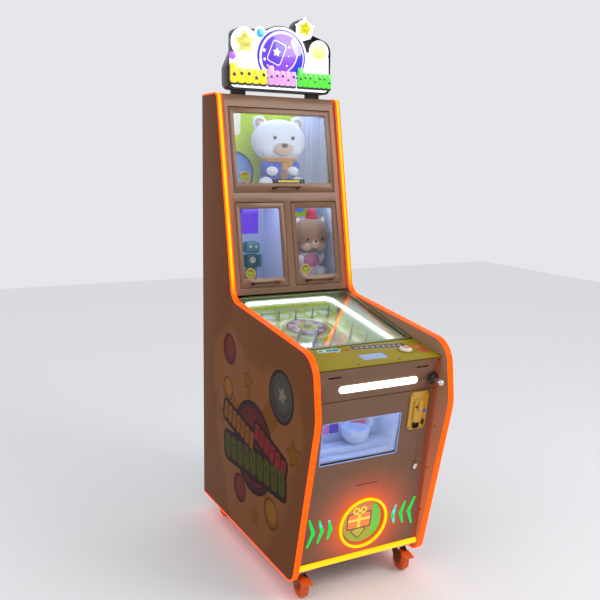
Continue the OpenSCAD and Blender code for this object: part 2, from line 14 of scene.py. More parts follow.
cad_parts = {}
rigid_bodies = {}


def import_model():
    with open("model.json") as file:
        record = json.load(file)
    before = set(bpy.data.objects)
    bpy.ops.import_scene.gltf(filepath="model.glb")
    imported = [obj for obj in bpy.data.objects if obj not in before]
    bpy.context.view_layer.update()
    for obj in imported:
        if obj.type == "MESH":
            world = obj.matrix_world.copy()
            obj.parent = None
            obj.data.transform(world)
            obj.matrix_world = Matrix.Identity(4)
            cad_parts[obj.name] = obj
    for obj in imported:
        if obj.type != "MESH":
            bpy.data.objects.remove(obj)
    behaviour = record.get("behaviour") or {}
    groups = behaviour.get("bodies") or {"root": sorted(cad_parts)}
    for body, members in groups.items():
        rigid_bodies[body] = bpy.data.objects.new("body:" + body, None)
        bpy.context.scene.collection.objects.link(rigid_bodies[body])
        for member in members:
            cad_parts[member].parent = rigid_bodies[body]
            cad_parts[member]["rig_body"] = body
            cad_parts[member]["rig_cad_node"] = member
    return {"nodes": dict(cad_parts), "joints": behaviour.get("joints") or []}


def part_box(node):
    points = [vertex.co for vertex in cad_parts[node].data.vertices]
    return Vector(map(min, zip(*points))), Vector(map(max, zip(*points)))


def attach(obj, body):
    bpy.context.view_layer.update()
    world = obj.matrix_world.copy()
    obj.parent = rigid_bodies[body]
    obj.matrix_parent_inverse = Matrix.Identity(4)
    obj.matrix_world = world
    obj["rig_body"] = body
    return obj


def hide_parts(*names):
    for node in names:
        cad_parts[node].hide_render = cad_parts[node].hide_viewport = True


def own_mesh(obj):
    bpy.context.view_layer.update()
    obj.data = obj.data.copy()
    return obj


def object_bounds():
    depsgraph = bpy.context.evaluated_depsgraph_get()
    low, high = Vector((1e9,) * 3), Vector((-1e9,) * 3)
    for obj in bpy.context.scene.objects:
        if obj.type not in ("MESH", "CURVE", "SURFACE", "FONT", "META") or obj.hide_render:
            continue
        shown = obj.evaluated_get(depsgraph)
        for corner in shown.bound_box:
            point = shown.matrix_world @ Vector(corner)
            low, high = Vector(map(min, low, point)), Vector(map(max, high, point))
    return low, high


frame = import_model()
cad_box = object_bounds()
nodes = frame["nodes"]
joints = {joint["name"]: joint for joint in frame["joints"]}
MM = 0.001
X, Y, Z = Vector((1, 0, 0)), Vector((0, 1, 0)), Vector((0, 0, 1))


# ================= camera, light and floor =================
LENS_MM, SENSOR_MM = 46.0, 36.0
CAMERA_PLACE = (-1.4387, -2.5593, 1.5564)
CAMERA_YAW, CAMERA_PITCH, CAMERA_ROLL = 28.02, 10.29, 1.02


def make_camera():
    data = bpy.data.cameras.new("Camera")
    data.lens, data.sensor_width = LENS_MM, SENSOR_MM
    camera = bpy.data.objects.new("Camera", data)
    bpy.context.scene.collection.objects.link(camera)
    yaw, pitch, roll = [math.radians(turn) for turn in (CAMERA_YAW, CAMERA_PITCH, CAMERA_ROLL)]
    ahead = Vector((math.sin(yaw) * math.cos(pitch), math.cos(yaw) * math.cos(pitch), -math.sin(pitch)))
    level = Vector((math.cos(yaw), -math.sin(yaw), 0))
    top = level.cross(ahead)
    right = math.cos(roll) * level + math.sin(roll) * top
    up = math.cos(roll) * top - math.sin(roll) * level
    turn = Matrix((right, up, -ahead)).transposed().to_4x4()
    camera.matrix_world = Matrix.Translation(CAMERA_PLACE) @ turn
    bpy.context.scene.camera = camera


def area_light(name, place, aim, size, power):
    data = bpy.data.lights.new(name, "AREA")
    data.size, data.energy = size, power
    lamp = bpy.data.objects.new(name, data)
    bpy.context.scene.collection.objects.link(lamp)
    lamp.location = place
    lamp.rotation_euler = (Vector(aim) - Vector(place)).to_track_quat("-Z", "Y").to_euler()


def make_studio():
    world = bpy.data.worlds.new("Studio")
    bpy.context.scene.world = world
    world.use_nodes = True
    world.node_tree.nodes["Background"].inputs["Color"].default_value = (0.96, 0.97, 1.0, 1)
    world.node_tree.nodes["Background"].inputs["Strength"].default_value = 0.82
    area_light("key_light", (1.9, -2.6, 3.2), (0, 0, 1.1), 1.6, 45)
    area_light("fill_light", (-2.8, -1.2, 2.4), (0, 0, 0.9), 2.2, 12)
    bpy.ops.mesh.primitive_plane_add(size=14)
    floor = bpy.context.object
    floor.name = "floor"
    finish = bpy.data.materials.new("pale_floor")
    finish.use_nodes = True
    shader = finish.node_tree.nodes["Principled BSDF"]
    shader.inputs["Base Color"].default_value = (0.86, 0.86, 0.87, 1)
    shader.inputs["Roughness"].default_value = 0.8
    floor.data.materials.append(finish)
    bpy.context.scene.view_settings.view_transform = "Standard"


make_camera()
make_studio()


# ================= places =================
class Face:
    """A flat place: its origin, the direction up it and the direction to its right."""

    def __init__(self, origin, up=Z, right=X):
        self.origin, self.up, self.right = Vector(origin), Vector(up).normalized(), right
        self.normal = self.right.cross(self.up)
        axes = Matrix((self.right, self.up, self.normal)).transposed().to_4x4()
        self.matrix = Matrix.Translation(self.origin) @ axes

    def point(self, x, y, out=0.0):
        return self.matrix @ (Vector((x, y, out)) * MM)

    def lay(self, piece, x=0.0, y=0.0, out=0.0, degrees=0.0):
        """Moves a piece modelled in millimetres to its place on this face."""
        turn = Matrix.Rotation(math.radians(degrees), 4, "Z")
        piece.data.transform(
            self.matrix @ Matrix.Scale(MM, 4) @ Matrix.Translation((x, y, out)) @ turn
        )
        return piece


def pivot(name):
    return Vector(joints[name]["pos_m"])


def middle(node):
    low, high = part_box(node)
    return (low + high) / 2


# the hinge pins lie this far inside their door's edges and face
FRONT_PIN = (254, 348, 3)
PRIZE_PIN = (56.5, 4)
front_up = -Vector(joints["front_door_hinge"]["axis"])
front_out = X.cross(front_up)
front = Face(
    pivot("front_door_hinge")
    + MM * (FRONT_PIN[0] * X - FRONT_PIN[1] * front_up + FRONT_PIN[2] * front_out),
    front_up,
)
slope_up = pivot("big_prize_door_hinge") - pivot("left_prize_door_hinge")
slope_up.x = 0
slope_up.normalize()
slope = Face(
    pivot("big_prize_door_hinge") + MM * (PRIZE_PIN[0] * slope_up + PRIZE_PIN[1] * X.cross(slope_up)),
    slope_up,
)
press = Vector(joints["start_button_press"]["axis"])
deck_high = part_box("deck_panel")[1]
deck = Face((0, deck_high.y, deck_high.z), (-press).cross(X))
button_way = middle("start_button") - deck.origin
BUTTON = (button_way.dot(deck.right) / MM, button_way.dot(deck.up) / MM)
BALL_SEAT = (228, 16, -73.7)
field_up = Vector(joints["ball_roll"]["axis"])
field_out = X.cross(field_up)
field = Face(
    middle("game_ball")
    - MM * (BALL_SEAT[0] * X + BALL_SEAT[1] * field_up + BALL_SEAT[2] * field_out),
    field_up,
)
half_w = cad_box[1].x
back = Face((0, cad_box[1].y, 0), Z, -X)
sign = Face((0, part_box("topper_housing")[0].y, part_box("topper_face")[0].z - 8 * MM), Z)
backdrop = Face((0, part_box("prize_backdrop")[0].y, 0), Z)
# middles of things in millimetres: the first four on the front, the disc on the playfield
WINDOW = (-47, 503.5)
RING = (3, 158)
PLUNGER = (228, 704)
COIN_PLATE = (182, 583)
DISC = (0, 366)
SIDES = ((-1, "l"), (1, "r"))
BLACK = (0, 0, 0, 1)
MERGE = 1e-6


# ================= shading =================
def rgb(red, green, blue):
    """A colour given on the usual 0 to 255 scale, as the shaders take it."""
    parts = [value / 255 for value in (red, green, blue)]
    linear = [v / 12.92 if v <= 0.04045 else ((v + 0.055) / 1.055) ** 2.4 for v in parts]
    return (*linear, 1.0)


class Value:
    """A shader socket that can be used in sums."""

    def __init__(self, finish, socket):
        self.finish, self.socket = finish, socket

    def math(self, operation, *others, **settings):
        return self.finish.node("Math", {"operation": operation, **settings}, [self, *others])

    def clamped(self):
        return self.math("MAXIMUM", 0.0).math("MINIMUM", 1.0)

    def __add__(self, other):
        return self.math("ADD", other)

    def __sub__(self, other):
        return self.math("SUBTRACT", other)

    def __mul__(self, other):
        return self.math("MULTIPLY", other)

    def __rsub__(self, other):
        return self.finish.node("Math", {"operation": "SUBTRACT"}, [other, self])

    def __gt__(self, other):
        return self.math("GREATER_THAN", other)

    def __lt__(self, other):
        return self.math("LESS_THAN", other)

    __radd__, __rmul__ = __add__, __mul__


class Finish:
    """One material, the record slot it belongs to and the nodes that draw it."""

    def __init__(self, name, slot, **sockets):
        self.slot = slot
        self.material = bpy.data.materials.new(name)
        self.material.use_nodes = True
        self.tree = self.material.node_tree
        self.shader = self.tree.nodes["Principled BSDF"]
        self.place = self.node("TexCoord", out="Object")
        for socket, value in sockets.items():
            self.put(socket.replace("_", " ").title().replace("Ior", "IOR"), value)

    def node(self, kind, settings=None, inputs=(), out=0):
        made = self.tree.nodes.new("ShaderNode" + kind)
        for name, value in (settings or {}).items():
            setattr(made, name, value)
        pairs = inputs.items() if isinstance(inputs, dict) else enumerate(inputs)
        for key, value in pairs:
            self.join(value, made.inputs[key])
        return Value(self, made.outputs[out])

    def vector(self, operation, *inputs, out=0):
        return self.node("VectorMath", {"operation": operation}, inputs, out)

    def flat(self, x, y):
        return self.node("CombineXYZ", {}, [x, y])

    def join(self, value, socket):
        if isinstance(value, Value):
            self.tree.links.new(value.socket, socket)
        else:
            socket.default_value = value

    def put(self, socket, value):
        self.join(value, self.shader.inputs[socket])

    def glow(self, colour, strength):
        self.put("Emission Color", colour)
        self.put("Emission Strength", strength)

    def mix(self, mask, under, over):
        return self.node("Mix", {"data_type": "RGBA"}, {0: mask, 6: under, 7: over}, out=2)

    def noise(self, scale, detail=2.0, stretch=(1, 1, 1)):
        spot = self.node("Mapping", {}, [self.place, (0, 0, 0), (0, 0, 0), stretch])
        return self.node("TexNoise", {}, {"Vector": spot, "Scale": scale, "Detail": detail})

    def bump(self, height, strength=0.2, distance=0.001):
        inputs = {"Strength": strength, "Distance": distance, "Height": height}
        self.put("Normal", self.node("Bump", {}, inputs))

    # ---- flat prints: points in millimetres on a face, and masks of shapes there ----
    def on(self, face):
        offset = self.vector("SUBTRACT", self.place, face.origin)
        ways = (face.right, face.up)
        return self.flat(*[self.vector("DOT_PRODUCT", offset, way / MM, out="Value") for way in ways])

    def height(self, face):
        offset = self.vector("SUBTRACT", self.place, face.origin)
        return self.vector("DOT_PRODUCT", offset, face.normal / MM, out="Value")

    def split(self, point):
        parts = self.node("SeparateXYZ", {}, [point]).socket.node
        return [Value(self, parts.outputs[i]) for i in range(3)]

    def inside(self, away, reach, blur=1.2):
        settings = {"operation": "MULTIPLY_ADD", "use_clamp": True}
        return self.node("Math", settings, [away, -1 / blur, reach / blur + 0.5])

    def away(self, point, x, y):
        return self.vector("DISTANCE", point, (x, y, 0), out="Value")

    def disc(self, point, x, y, radius, blur=1.2):
        return self.inside(self.away(point, x, y), radius, blur)

    def hoop(self, point, x, y, radius, width, blur=1.2):
        off = self.away(point, x, y).math("SUBTRACT", radius).math("ABSOLUTE")
        return self.inside(off, width / 2, blur)

    def turned(self, point, x, y, degrees=0.0):
        tilt = (0, 0, math.radians(degrees))
        return self.node("Mapping", {"vector_type": "TEXTURE"}, [point, (x, y, 0), tilt])

    def pill(self, point, x, y, half_w, half_h, corner, degrees=0.0, blur=1.2):
        local = self.vector("ABSOLUTE", self.turned(point, x, y, degrees))
        local = self.vector("SUBTRACT", local, (half_w - corner, half_h - corner, 0))
        local = self.vector("MAXIMUM", local, (0, 0, 0))
        return self.inside(self.vector("LENGTH", local, out="Value"), corner, blur)

    def star(self, point, x, y, reach, degrees=0.0, waist=0.55, blur=1.2):
        across, upward, _ = self.split(self.turned(point, x, y, degrees))
        sector = math.pi / 5
        angle = across.math("ARCTAN2", upward).math("PINGPONG", sector)
        span = self.away(point, x, y)
        near = Vector((waist * math.cos(sector), waist * math.sin(sector)))
        side = Vector((near.y, 1 - near.x)).normalized()
        edge = angle.math("COSINE") * span * side.x + angle.math("SINE") * span * side.y
        return self.inside(edge, reach * side.x, blur)

    def marks(self, colour, point, *rows):
        """Prints marks one over another: each row is a colour, a shape and the shape's numbers."""
        for paint, shape, *numbers in rows:
            mask = getattr(self, shape)(point, *numbers)
            colour = self.mix(mask, colour, paint if len(paint) == 4 else rgb(*paint))
        return colour

    def ball_print(self, colour, point, x, y, radius, dark, light):
        """A printed ball: outline, body, a light cap and a bright spot."""
        colour = self.mix(self.disc(point, x, y, radius), colour, rgb(34, 16, 14))
        colour = self.mix(self.disc(point, x, y, radius * 0.93), colour, dark)
        colour = self.mix(
            self.disc(point, x - radius * 0.08, y + radius * 0.12, radius * 0.7, radius * 0.3),
            colour,
            light,
        )
        colour = self.mix(self.hoop(point, x, y, radius * 0.8, radius * 0.05), colour, light)
        return self.mix(self.disc(point, x + radius * 0.3, y + radius * 0.42, radius * 0.1), colour, light)

    def trail_print(self, colour, point, start, end, width, paint):
        run = Vector(end) - Vector(start)
        centre = (Vector(start) + Vector(end)) / 2
        lean = math.degrees(math.atan2(run.y, run.x))
        band = self.pill(point, centre.x, centre.y, run.length / 2, width, width * 0.9, lean, 3)
        return self.mix(band, colour, paint)


def worn(finish, colour, grain=180.0, shift=0.10, rough=0.4, rough_shift=0.12, dimple=0.12):
    """Gives a finish its colour with slow and fine changes, uneven gloss and a fine surface."""
    slow, fine = finish.noise(7.0, 4.0), finish.noise(grain, 3.0)
    shade = (slow - 0.5) * (shift * 2) + (fine - 0.5) * shift + 1.0
    tint = colour if isinstance(colour, Value) else colour[:3]
    tinted = finish.node("VectorMath", {"operation": "SCALE"}, {0: tint, "Scale": shade})
    finish.put("Base Color", tinted)
    finish.put("Roughness", (slow - 0.5) * rough_shift + (fine - 0.5) * rough_shift + rough)
    finish.bump(fine, dimple, 0.0006)
    return finish


def cabinet_paint():
    """Satin bronze spray paint; the prize doors' wire handles are bare dark metal.

    The outlet ring's light lies on the paint round it, deep orange and fading outwards, and the
    side tubes' light lies along the paint next to them.
    """
    finish = Finish("cabinet_paint", "cabinet_paint", coat_weight=0.2, coat_roughness=0.08,
                    specular_ior_level=0.25)
    paint = rgb(116, 84, 62)
    spot = finish.on(front)
    near = 1.0 - (finish.away(spot, *RING) - 104.0).math("MAXIMUM", 0.0) * 0.0052
    spill = near.math("MAXIMUM", 0.0).math("POWER", 2.6) * (finish.height(front) < 2.0)
    sideways = finish.split(spot)[0].math("ABSOLUTE")
    edge = ((sideways - 222.0) * 0.03).clamped().math("POWER", 2.0)
    spill = spill.math("MAXIMUM", edge * 0.34)
    finish.glow(finish.mix(spill, BLACK, rgb(226, 62, 0)), 0.8)
    handle = finish.height(slope) > 0.6
    high = finish.split(finish.place)[2] > 1.0
    wire = handle * high
    worn(finish, finish.mix(wire, paint, rgb(74, 52, 40)), 420.0, 0.07, 0.34, 0.1, 0.1)
    finish.put("Metallic", wire * 0.6 + 0.2)
    return finish


ORANGE_PRINT, RED_PRINT, GREEN_PRINT = rgb(112, 64, 6), rgb(112, 26, 24), rgb(60, 58, 4)
WINE, WINE_LIGHT = rgb(66, 12, 16), rgb(98, 30, 26)


def side_laminate():
    """Printed side: balls and stars flying out of a big disc, with three rows of beads."""
    finish = Finish("side_laminate", "side_paint", specular_ior_level=0.08)
    away, deep, high = finish.split(finish.place)
    spot = finish.flat(deep * 1000.0, high * 1000.0)
    base = rgb(104, 60, 28)
    halo = finish.disc(spot, 10, 470, 330, 60) * 0.8
    for x, y, reach in ((200, 690, 190), (-230, 640, 190), (30, 260, 230), (205, 800, 100)):
        halo = halo.math("MAXIMUM", finish.disc(spot, x, y, reach, 40) * 0.8)
    colour = finish.mix(halo, base, rgb(121, 73, 38))
    hub = (-17, 472)
    trail = rgb(108, 62, 12)
    for end, width in (((-255, 740), 52), ((227, 642), 26), ((28, 727), 16), ((-182, 271), 28),
                       ((106, 260), 24)):
        colour = finish.trail_print(colour, spot, hub, end, width, trail)
    for x, y, reach, lean in ((28, 727, 52, 8), (-356, 561, 58, -10), (286, 510, 44, 20),
                              (-42, 202, 42, -14)):
        colour = finish.mix(finish.star(spot, x, y, reach, lean), colour, rgb(78, 42, 6))
        colour = finish.mix(finish.star(spot, x, y, reach * 0.86, lean), colour, ORANGE_PRINT)
    colour = finish.ball_print(colour, spot, -255, 740, 98, rgb(44, 40, 38), rgb(70, 62, 56))
    colour = finish.mix(finish.star(spot, -262, 748, 34, 14), colour, rgb(112, 98, 84))
    wine, amber = (WINE, WINE_LIGHT), (rgb(96, 52, 6), rgb(128, 78, 14))
    for x, y, radius, paints in ((211, 809, 64, wine), (227, 642, 50, amber), (106, 260, 60, wine),
                                 (-182, 271, 60, amber), (*hub, 184, (rgb(56, 12, 16), rgb(84, 24, 24)))):
        colour = finish.ball_print(colour, spot, x, y, radius, *paints)
    rows = (
        (120, 523, 148, 42, 11.1, 7, ORANGE_PRINT),
        (-165, 514, 138, 40, 15.8, 6, RED_PRINT),
        (-20, 412, 276, 58, -2.5, 9, GREEN_PRINT),
    )
    for x, y, half_l, half_h, lean, _, _ in rows:
        edge = finish.pill(spot, x, y, half_l + 12, half_h + 10, 34, lean)
        colour = finish.mix(edge, colour, rgb(36, 12, 12))
    for x, y, half_l, half_h, lean, count, paint in rows:
        pitch = 2 * half_l / count
        along, up, _ = finish.split(finish.turned(spot, x, y, lean))
        cell = ((along + half_l) * (1 / pitch)).math("FRACT") * pitch - pitch / 2
        tile = finish.flat(cell, up)
        bead = finish.pill(tile, 0, 0, pitch * 0.43, half_h * 0.86, pitch * 0.3)
        within = along.math("ABSOLUTE") < half_l
        colour = finish.mix(bead * within, colour, paint)
        dot = finish.disc(tile, 0, half_h * 0.25, pitch * 0.13)
        colour = finish.mix(dot * within * 0.7, colour, rgb(36, 12, 12))
    outside = away.math("ABSOLUTE") > half_w - 0.6 * MM
    colour = finish.mix(outside, rgb(150, 118, 92), colour)
    # painted light: an orange glow from the cabinet's lamps on the inner faces of the sides, low down and
    # towards the front
    inside = away.math("ABSOLUTE") < half_w - 15 * MM
    forward = ((-0.24 - deep) * 7.0).clamped()
    low = ((0.86 - high) * 1.5).clamped()
    finish.glow(finish.mix(inside * forward * low, BLACK, rgb(214, 70, 4)), 0.6)
    return worn(finish, colour, 260.0, 0.08, 0.42, 0.14, 0.12)


def board(name, colour):
    """Painted plywood: long grain under a rolled coat."""
    finish = Finish(name, "board")
    grain = finish.noise(28.0, 5.0, (9, 9, 0.6))
    tint = finish.mix(grain, colour, tuple(part * 0.66 for part in colour[:3]) + (1,))
    return worn(finish, tint, 350.0, 0.1, 0.62, 0.12, 0.25)


def plastic(name, slot, colour, rough=0.3, **sockets):
    """Moulded plastic with a fine spark-eroded surface."""
    return worn(Finish(name, slot, **sockets), colour, 900.0, 0.06, rough, 0.1, 0.08)


def metal(name, slot, colour, rough, brush=(1, 1, 30)):
    """Brushed or plated metal with fine lines and dull patches."""
    finish = Finish(name, slot, metallic=1.0)
    lines, slow = finish.noise(160.0, 4.0, brush), finish.noise(9.0, 3.0)
    tint = finish.mix(lines * 0.5 + slow * 0.3, colour, tuple(c * 0.55 for c in colour[:3]) + (1,))
    finish.put("Base Color", tint)
    finish.put("Roughness", lines * 0.16 + slow * 0.12 + rough - 0.1)
    finish.bump(lines, 0.06, 0.0004)
    return finish


def glowing(name, slot, colour, strength, body=None):
    """A lit diffuser: the lamps behind it show as slow steps of brightness."""
    finish = Finish(name, slot, roughness=0.35)
    lamps = finish.noise(60.0, 1.0)
    finish.put("Base Color", body or rgb(250, 250, 250))
    if body is None:
        colour = finish.mix(lamps * 0.35, colour, rgb(255, 255, 255))
    finish.glow(colour, strength)
    finish.bump(finish.noise(700.0), 0.05, 0.0004)
    return finish


def neon():
    """Side tubes: deep orange, with a hot yellow core along the upper slope."""
    finish = Finish("orange_neon", "orange_light", roughness=0.3, specular_ior_level=0.08)
    away, _, high = finish.split(finish.place)
    middle_x = sum(corner.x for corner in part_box("right_side_panel")) / 2
    core = finish.inside(away.math("ABSOLUTE").math("SUBTRACT", middle_x).math("ABSOLUTE") * 1000.0, 5.5, 4)
    upper = ((high - 1.02) * 12.0).clamped()
    ripple = finish.noise(22.0, 2.0, (1, 3, 3))
    glow = finish.mix(ripple, rgb(255, 54, 0), rgb(255, 76, 0))
    glow = finish.mix(core * upper, glow, rgb(255, 150, 0))
    finish.put("Base Color", rgb(90, 26, 0))
    finish.glow(glow, 2.6)
    return finish


def door_glow():
    """The ring tube is yellow; the chevrons are green with bright cyan lamps."""
    finish = Finish("door_glow", "yellow_light", roughness=0.3, specular_ior_level=0.08)
    spot = finish.on(front)
    ring = finish.disc(spot, *RING, 112)
    lamps = finish.noise(34.0, 0.0)
    hot = ((lamps - 0.6) * 16.0).clamped()
    green = finish.mix(hot, rgb(0, 166, 58), rgb(50, 168, 180))
    finish.put("Base Color", finish.mix(ring, rgb(0, 40, 16), rgb(90, 70, 0)))
    finish.glow(finish.mix(ring, green, rgb(255, 165, 0)), 2.2)
    return finish


def pane():
    """Glass: clear straight on, with sharp reflections at a slant."""
    finish = Finish("clear_pane", "clear_glass", metallic=1.0)
    smear = finish.noise(5.0, 4.0)
    finish.put("Base Color", finish.mix(smear, rgb(255, 255, 255), rgb(236, 244, 250)))
    finish.put("Roughness", smear * 0.03)
    clear = finish.node("BsdfTransparent", {}, {"Color": (0.98, 0.99, 1.0, 1)})
    slant = finish.node("LayerWeight", {}, {"Blend": 0.3}, out="Fresnel")
    shine = Value(finish, finish.shader.outputs["BSDF"])
    mixed = finish.node("MixShader", {}, [slant * 0.34, clear, shine])
    finish.tree.links.new(mixed.socket, finish.tree.nodes["Material Output"].inputs["Surface"])
    return finish


def plush(name, slot, colour, tips):
    """Short pile: lighter tips, tufts that part, and a soft sheen."""
    finish = Finish(name, slot, roughness=0.95, sheen_weight=0.6, sheen_roughness=0.5)
    tuft, fibre = finish.noise(120.0, 4.0), finish.noise(1500.0, 2.0)
    finish.put("Base Color", finish.mix(tuft * 0.6 + fibre * 0.4, colour, tips))
    finish.bump(tuft * 0.5 + fibre * 0.5, 0.75, 0.002)
    return finish


def knit(name, slot, colour, shade):
    """Knitted cloth: rows of loops."""
    finish = Finish(name, slot, roughness=0.9, sheen_weight=0.1)
    loops = finish.node("TexWave", {"bands_direction": "Z"},
                        {"Vector": finish.place, "Scale": 150.0, "Distortion": 3.0, "Detail": 1.0}, out=1)
    ribs = finish.node("TexWave", {"bands_direction": "X"},
                       {"Vector": finish.place, "Scale": 110.0, "Distortion": 1.0}, out=1)
    # the darker colour falls where the loops are low: painted shade in the weave's hollows
    weave = loops * 0.6 + ribs * 0.4
    finish.put("Base Color", finish.mix(weave, shade, colour))
    finish.bump(weave, 0.6, 0.0015)
    return finish


def backdrop_print():
    """Sheet behind the prizes: yellow-green with pale panels, balls and stars."""
    finish = Finish("backdrop_print", "backdrop_print", specular_ior_level=0.15)
    spot = finish.on(backdrop)
    colour = finish.mix(finish.noise(9.0, 1.0), rgb(178, 205, 20), rgb(204, 226, 40))
    colour = finish.mix(finish.pill(spot, -190, 1720, 70, 62, 18), colour, rgb(250, 246, 214))
    for i in range(3):
        colour = finish.mix(finish.pill(spot, -196 + 6 * i, 1752 - 24 * i, 44 - 5 * i, 6, 5.5), colour,
                            rgb(226, 130, 214))
    colour = finish.mix(finish.star(spot, -196, 1640, 26, 12), colour, rgb(255, 236, 90))
    colour = finish.ball_print(colour, spot, -150, 1500, 92, rgb(58, 120, 214), rgb(120, 170, 240))
    colour = finish.mix(finish.disc(spot, -235, 1455, 74), colour, rgb(188, 140, 222))
    wall = rgb(206, 216, 240)
    colour = finish.mix(finish.pill(spot, 210, 1606, 62, 200, 2), colour, wall)
    # the lower compartments: a white wall with a printed patch at each upper left
    patch = finish.ball_print(rgb(112, 52, 246), spot, -40, 1230, 150, rgb(128, 64, 236), rgb(150, 92, 250))
    low = finish.mix(finish.pill(spot, -148, 1325, 114, 84, 2), wall, patch)
    low = finish.mix(finish.pill(spot, 106, 1362, 98, 50, 2), low, rgb(196, 222, 20))
    low = finish.mix(finish.disc(spot, 168, 1352, 24), low, rgb(110, 140, 232))
    colour = finish.mix(finish.split(spot)[1] < 1401.0, colour, low)
    return worn(finish, colour, 300.0, 0.04, 0.4, 0.08, 0.05)


def deck_print():
    """Printed overlay: olive yellow with a fine diagonal hatch, and plain signs."""
    finish = Finish("deck_print", "deck_print", coat_weight=0.15, coat_roughness=0.08,
                    specular_ior_level=0.2)
    spot = finish.on(deck)
    across, up, _ = finish.split(spot)
    hatch = ((across + up) * 0.16).math("FRACT") > 0.62
    cross = ((across - up) * 0.16).math("FRACT") > 0.62
    colour = finish.mix((hatch * cross) * 0.8, rgb(150, 134, 6), rgb(98, 92, 8))
    head = finish.pill(spot, -96, -24, 13, 13, 3, 45) * (across > -102.0)
    arrow = (finish.pill(spot, -128, -24, 34, 9, 7) + head).math("MINIMUM", 1.0)
    tip_edge = finish.pill(spot, -96, -24, 17, 17, 4, 45) * (across > -104.0)
    edge = finish.pill(spot, -128, -24, 38, 13, 9) + tip_edge
    colour = finish.mix(edge.math("MINIMUM", 1.0), colour, rgb(206, 224, 210))
    colour = finish.mix(arrow, colour, rgb(62, 138, 150))
    colour = finish.mix(finish.star(spot, -140, -24, 9), colour, rgb(232, 240, 200))
    # dark strip of pale and white beads, and the small tile before it
    lean = -6.0
    colour = finish.mix(finish.pill(spot, 78, -34, 108, 15, 5, lean), colour, rgb(48, 42, 66))
    local_x, local_y, _ = finish.split(finish.turned(spot, 78, -34, lean))
    cell = ((local_x + 100.0) * 0.0455).math("FRACT") * 22.0 - 11.0
    bead = finish.pill(finish.flat(cell, local_y), 0, 0, 7, 7, 5)
    colour = finish.mix(bead * (local_x.math("ABSOLUTE") < 100.0), colour, rgb(150, 152, 168))
    colour = finish.mix(finish.pill(spot, -52, -30, 11, 8, 3), colour, rgb(128, 96, 60))
    # pale blue tile in its dark edge, and red and pink patches at the right
    colour = finish.marks(
        colour, spot,
        ((122, 118, 90), "pill", 6, -112, 53, 26, 3, -1),
        ((150, 172, 204), "pill", 6, -112, 49, 23, 3, -1),
        ((186, 82, 58), "pill", 226, -104, 20, 24, 6, 12),
        ((206, 112, 74), "disc", 214, -76, 15),
    )
    return worn(finish, colour, 500.0, 0.05, 0.36, 0.1, 0.05)


def field_print():
    """Playfield art: green and yellow fields, pale clouds, coloured spots and guide lines."""
    finish = Finish("field_print", "field_print", coat_weight=0.6, coat_roughness=0.06)
    spot = finish.on(field)
    cloud = finish.noise(11.0, 1.0)
    colour = finish.mix(((cloud - 0.46) * 12.0).clamped(),
                        rgb(176, 186, 24), rgb(206, 224, 150))
    colour = finish.marks(
        colour, spot,
        ((150, 164, 8), "disc", 120, 190, 96),
        ((162, 172, 10), "disc", -120, 230, 70),
        ((178, 204, 232), "disc", -30, 160, 54),
        ((248, 250, 255), "star", -30, 160, 40, 10),
        ((196, 92, 120), "disc", 52, 214, 24),
        ((226, 132, 72), "disc", 108, 250, 17),
    )
    for i in range(6):
        colour = finish.mix(finish.disc(spot, -165 + 66 * i, 512, 25), colour,
                            rgb(214, 232, 250) if i % 2 else rgb(246, 250, 252))
    colour = finish.mix(finish.hoop(spot, *DISC, 104, 9), colour, rgb(238, 246, 226))
    paints = (rgb(226, 92, 120), rgb(246, 196, 30), rgb(92, 190, 96), rgb(96, 140, 232), rgb(180, 96, 216))
    for i, x in enumerate((-112, -56, 0, 56, 112)):
        colour = finish.mix(finish.pill(spot, x, 40, 22, 32, 8), colour, paints[i])
        colour = finish.mix(finish.star(spot, x, 44, 14), colour, rgb(255, 255, 240))
    return worn(finish, colour, 300.0, 0.04, 0.3, 0.08, 0.04)


def field_wall():
    """Pale frosted plastic; the raised disc is printed with lobes round a green middle."""
    finish = Finish("field_wall", "field_wall", coat_weight=0.25)
    spot = finish.on(field)
    across, up, _ = finish.split(finish.turned(spot, *DISC))
    spin = across.math("ARCTAN2", up)
    lobes = (spin * 7.0).math("SINE") > 0.1
    base = finish.mix(finish.noise(16.0), rgb(178, 206, 168), rgb(214, 232, 198))
    disc = finish.mix(lobes, rgb(206, 188, 214), rgb(176, 74, 120))
    disc = finish.mix(finish.hoop(spot, *DISC, 78, 7), disc, rgb(96, 90, 150))
    disc = finish.mix(finish.disc(spot, *DISC, 48), disc, rgb(218, 226, 224))
    disc = finish.mix(finish.disc(spot, *DISC, 42), disc, rgb(186, 196, 12))
    disc = finish.mix(finish.star(spot, *DISC, 24), disc, rgb(96, 92, 110))
    on_disc = finish.disc(spot, *DISC, 82.5)
    depth = finish.height(field)
    band = (finish.split(spot)[1] > 548.0) * (depth < -24.0) * (depth > -44.0)
    base = finish.mix(band, base, rgb(190, 208, 8))
    return worn(finish, finish.mix(on_disc, base, disc), 300.0, 0.05, 0.4, 0.1, 0.06)


def dome_print():
    """Start button: white with a pale brown middle and a plain ring."""
    finish = Finish("dome_print", "ivory_plastic", coat_weight=0.4)
    spot = finish.on(deck)
    x, y = BUTTON
    colour = finish.mix(finish.disc(spot, x, y, 15), rgb(222, 212, 200), rgb(172, 104, 70))
    colour = finish.mix(finish.star(spot, x, y, 9), colour, rgb(226, 196, 170))
    return worn(finish, colour, 900.0, 0.05, 0.24, 0.08, 0.05)


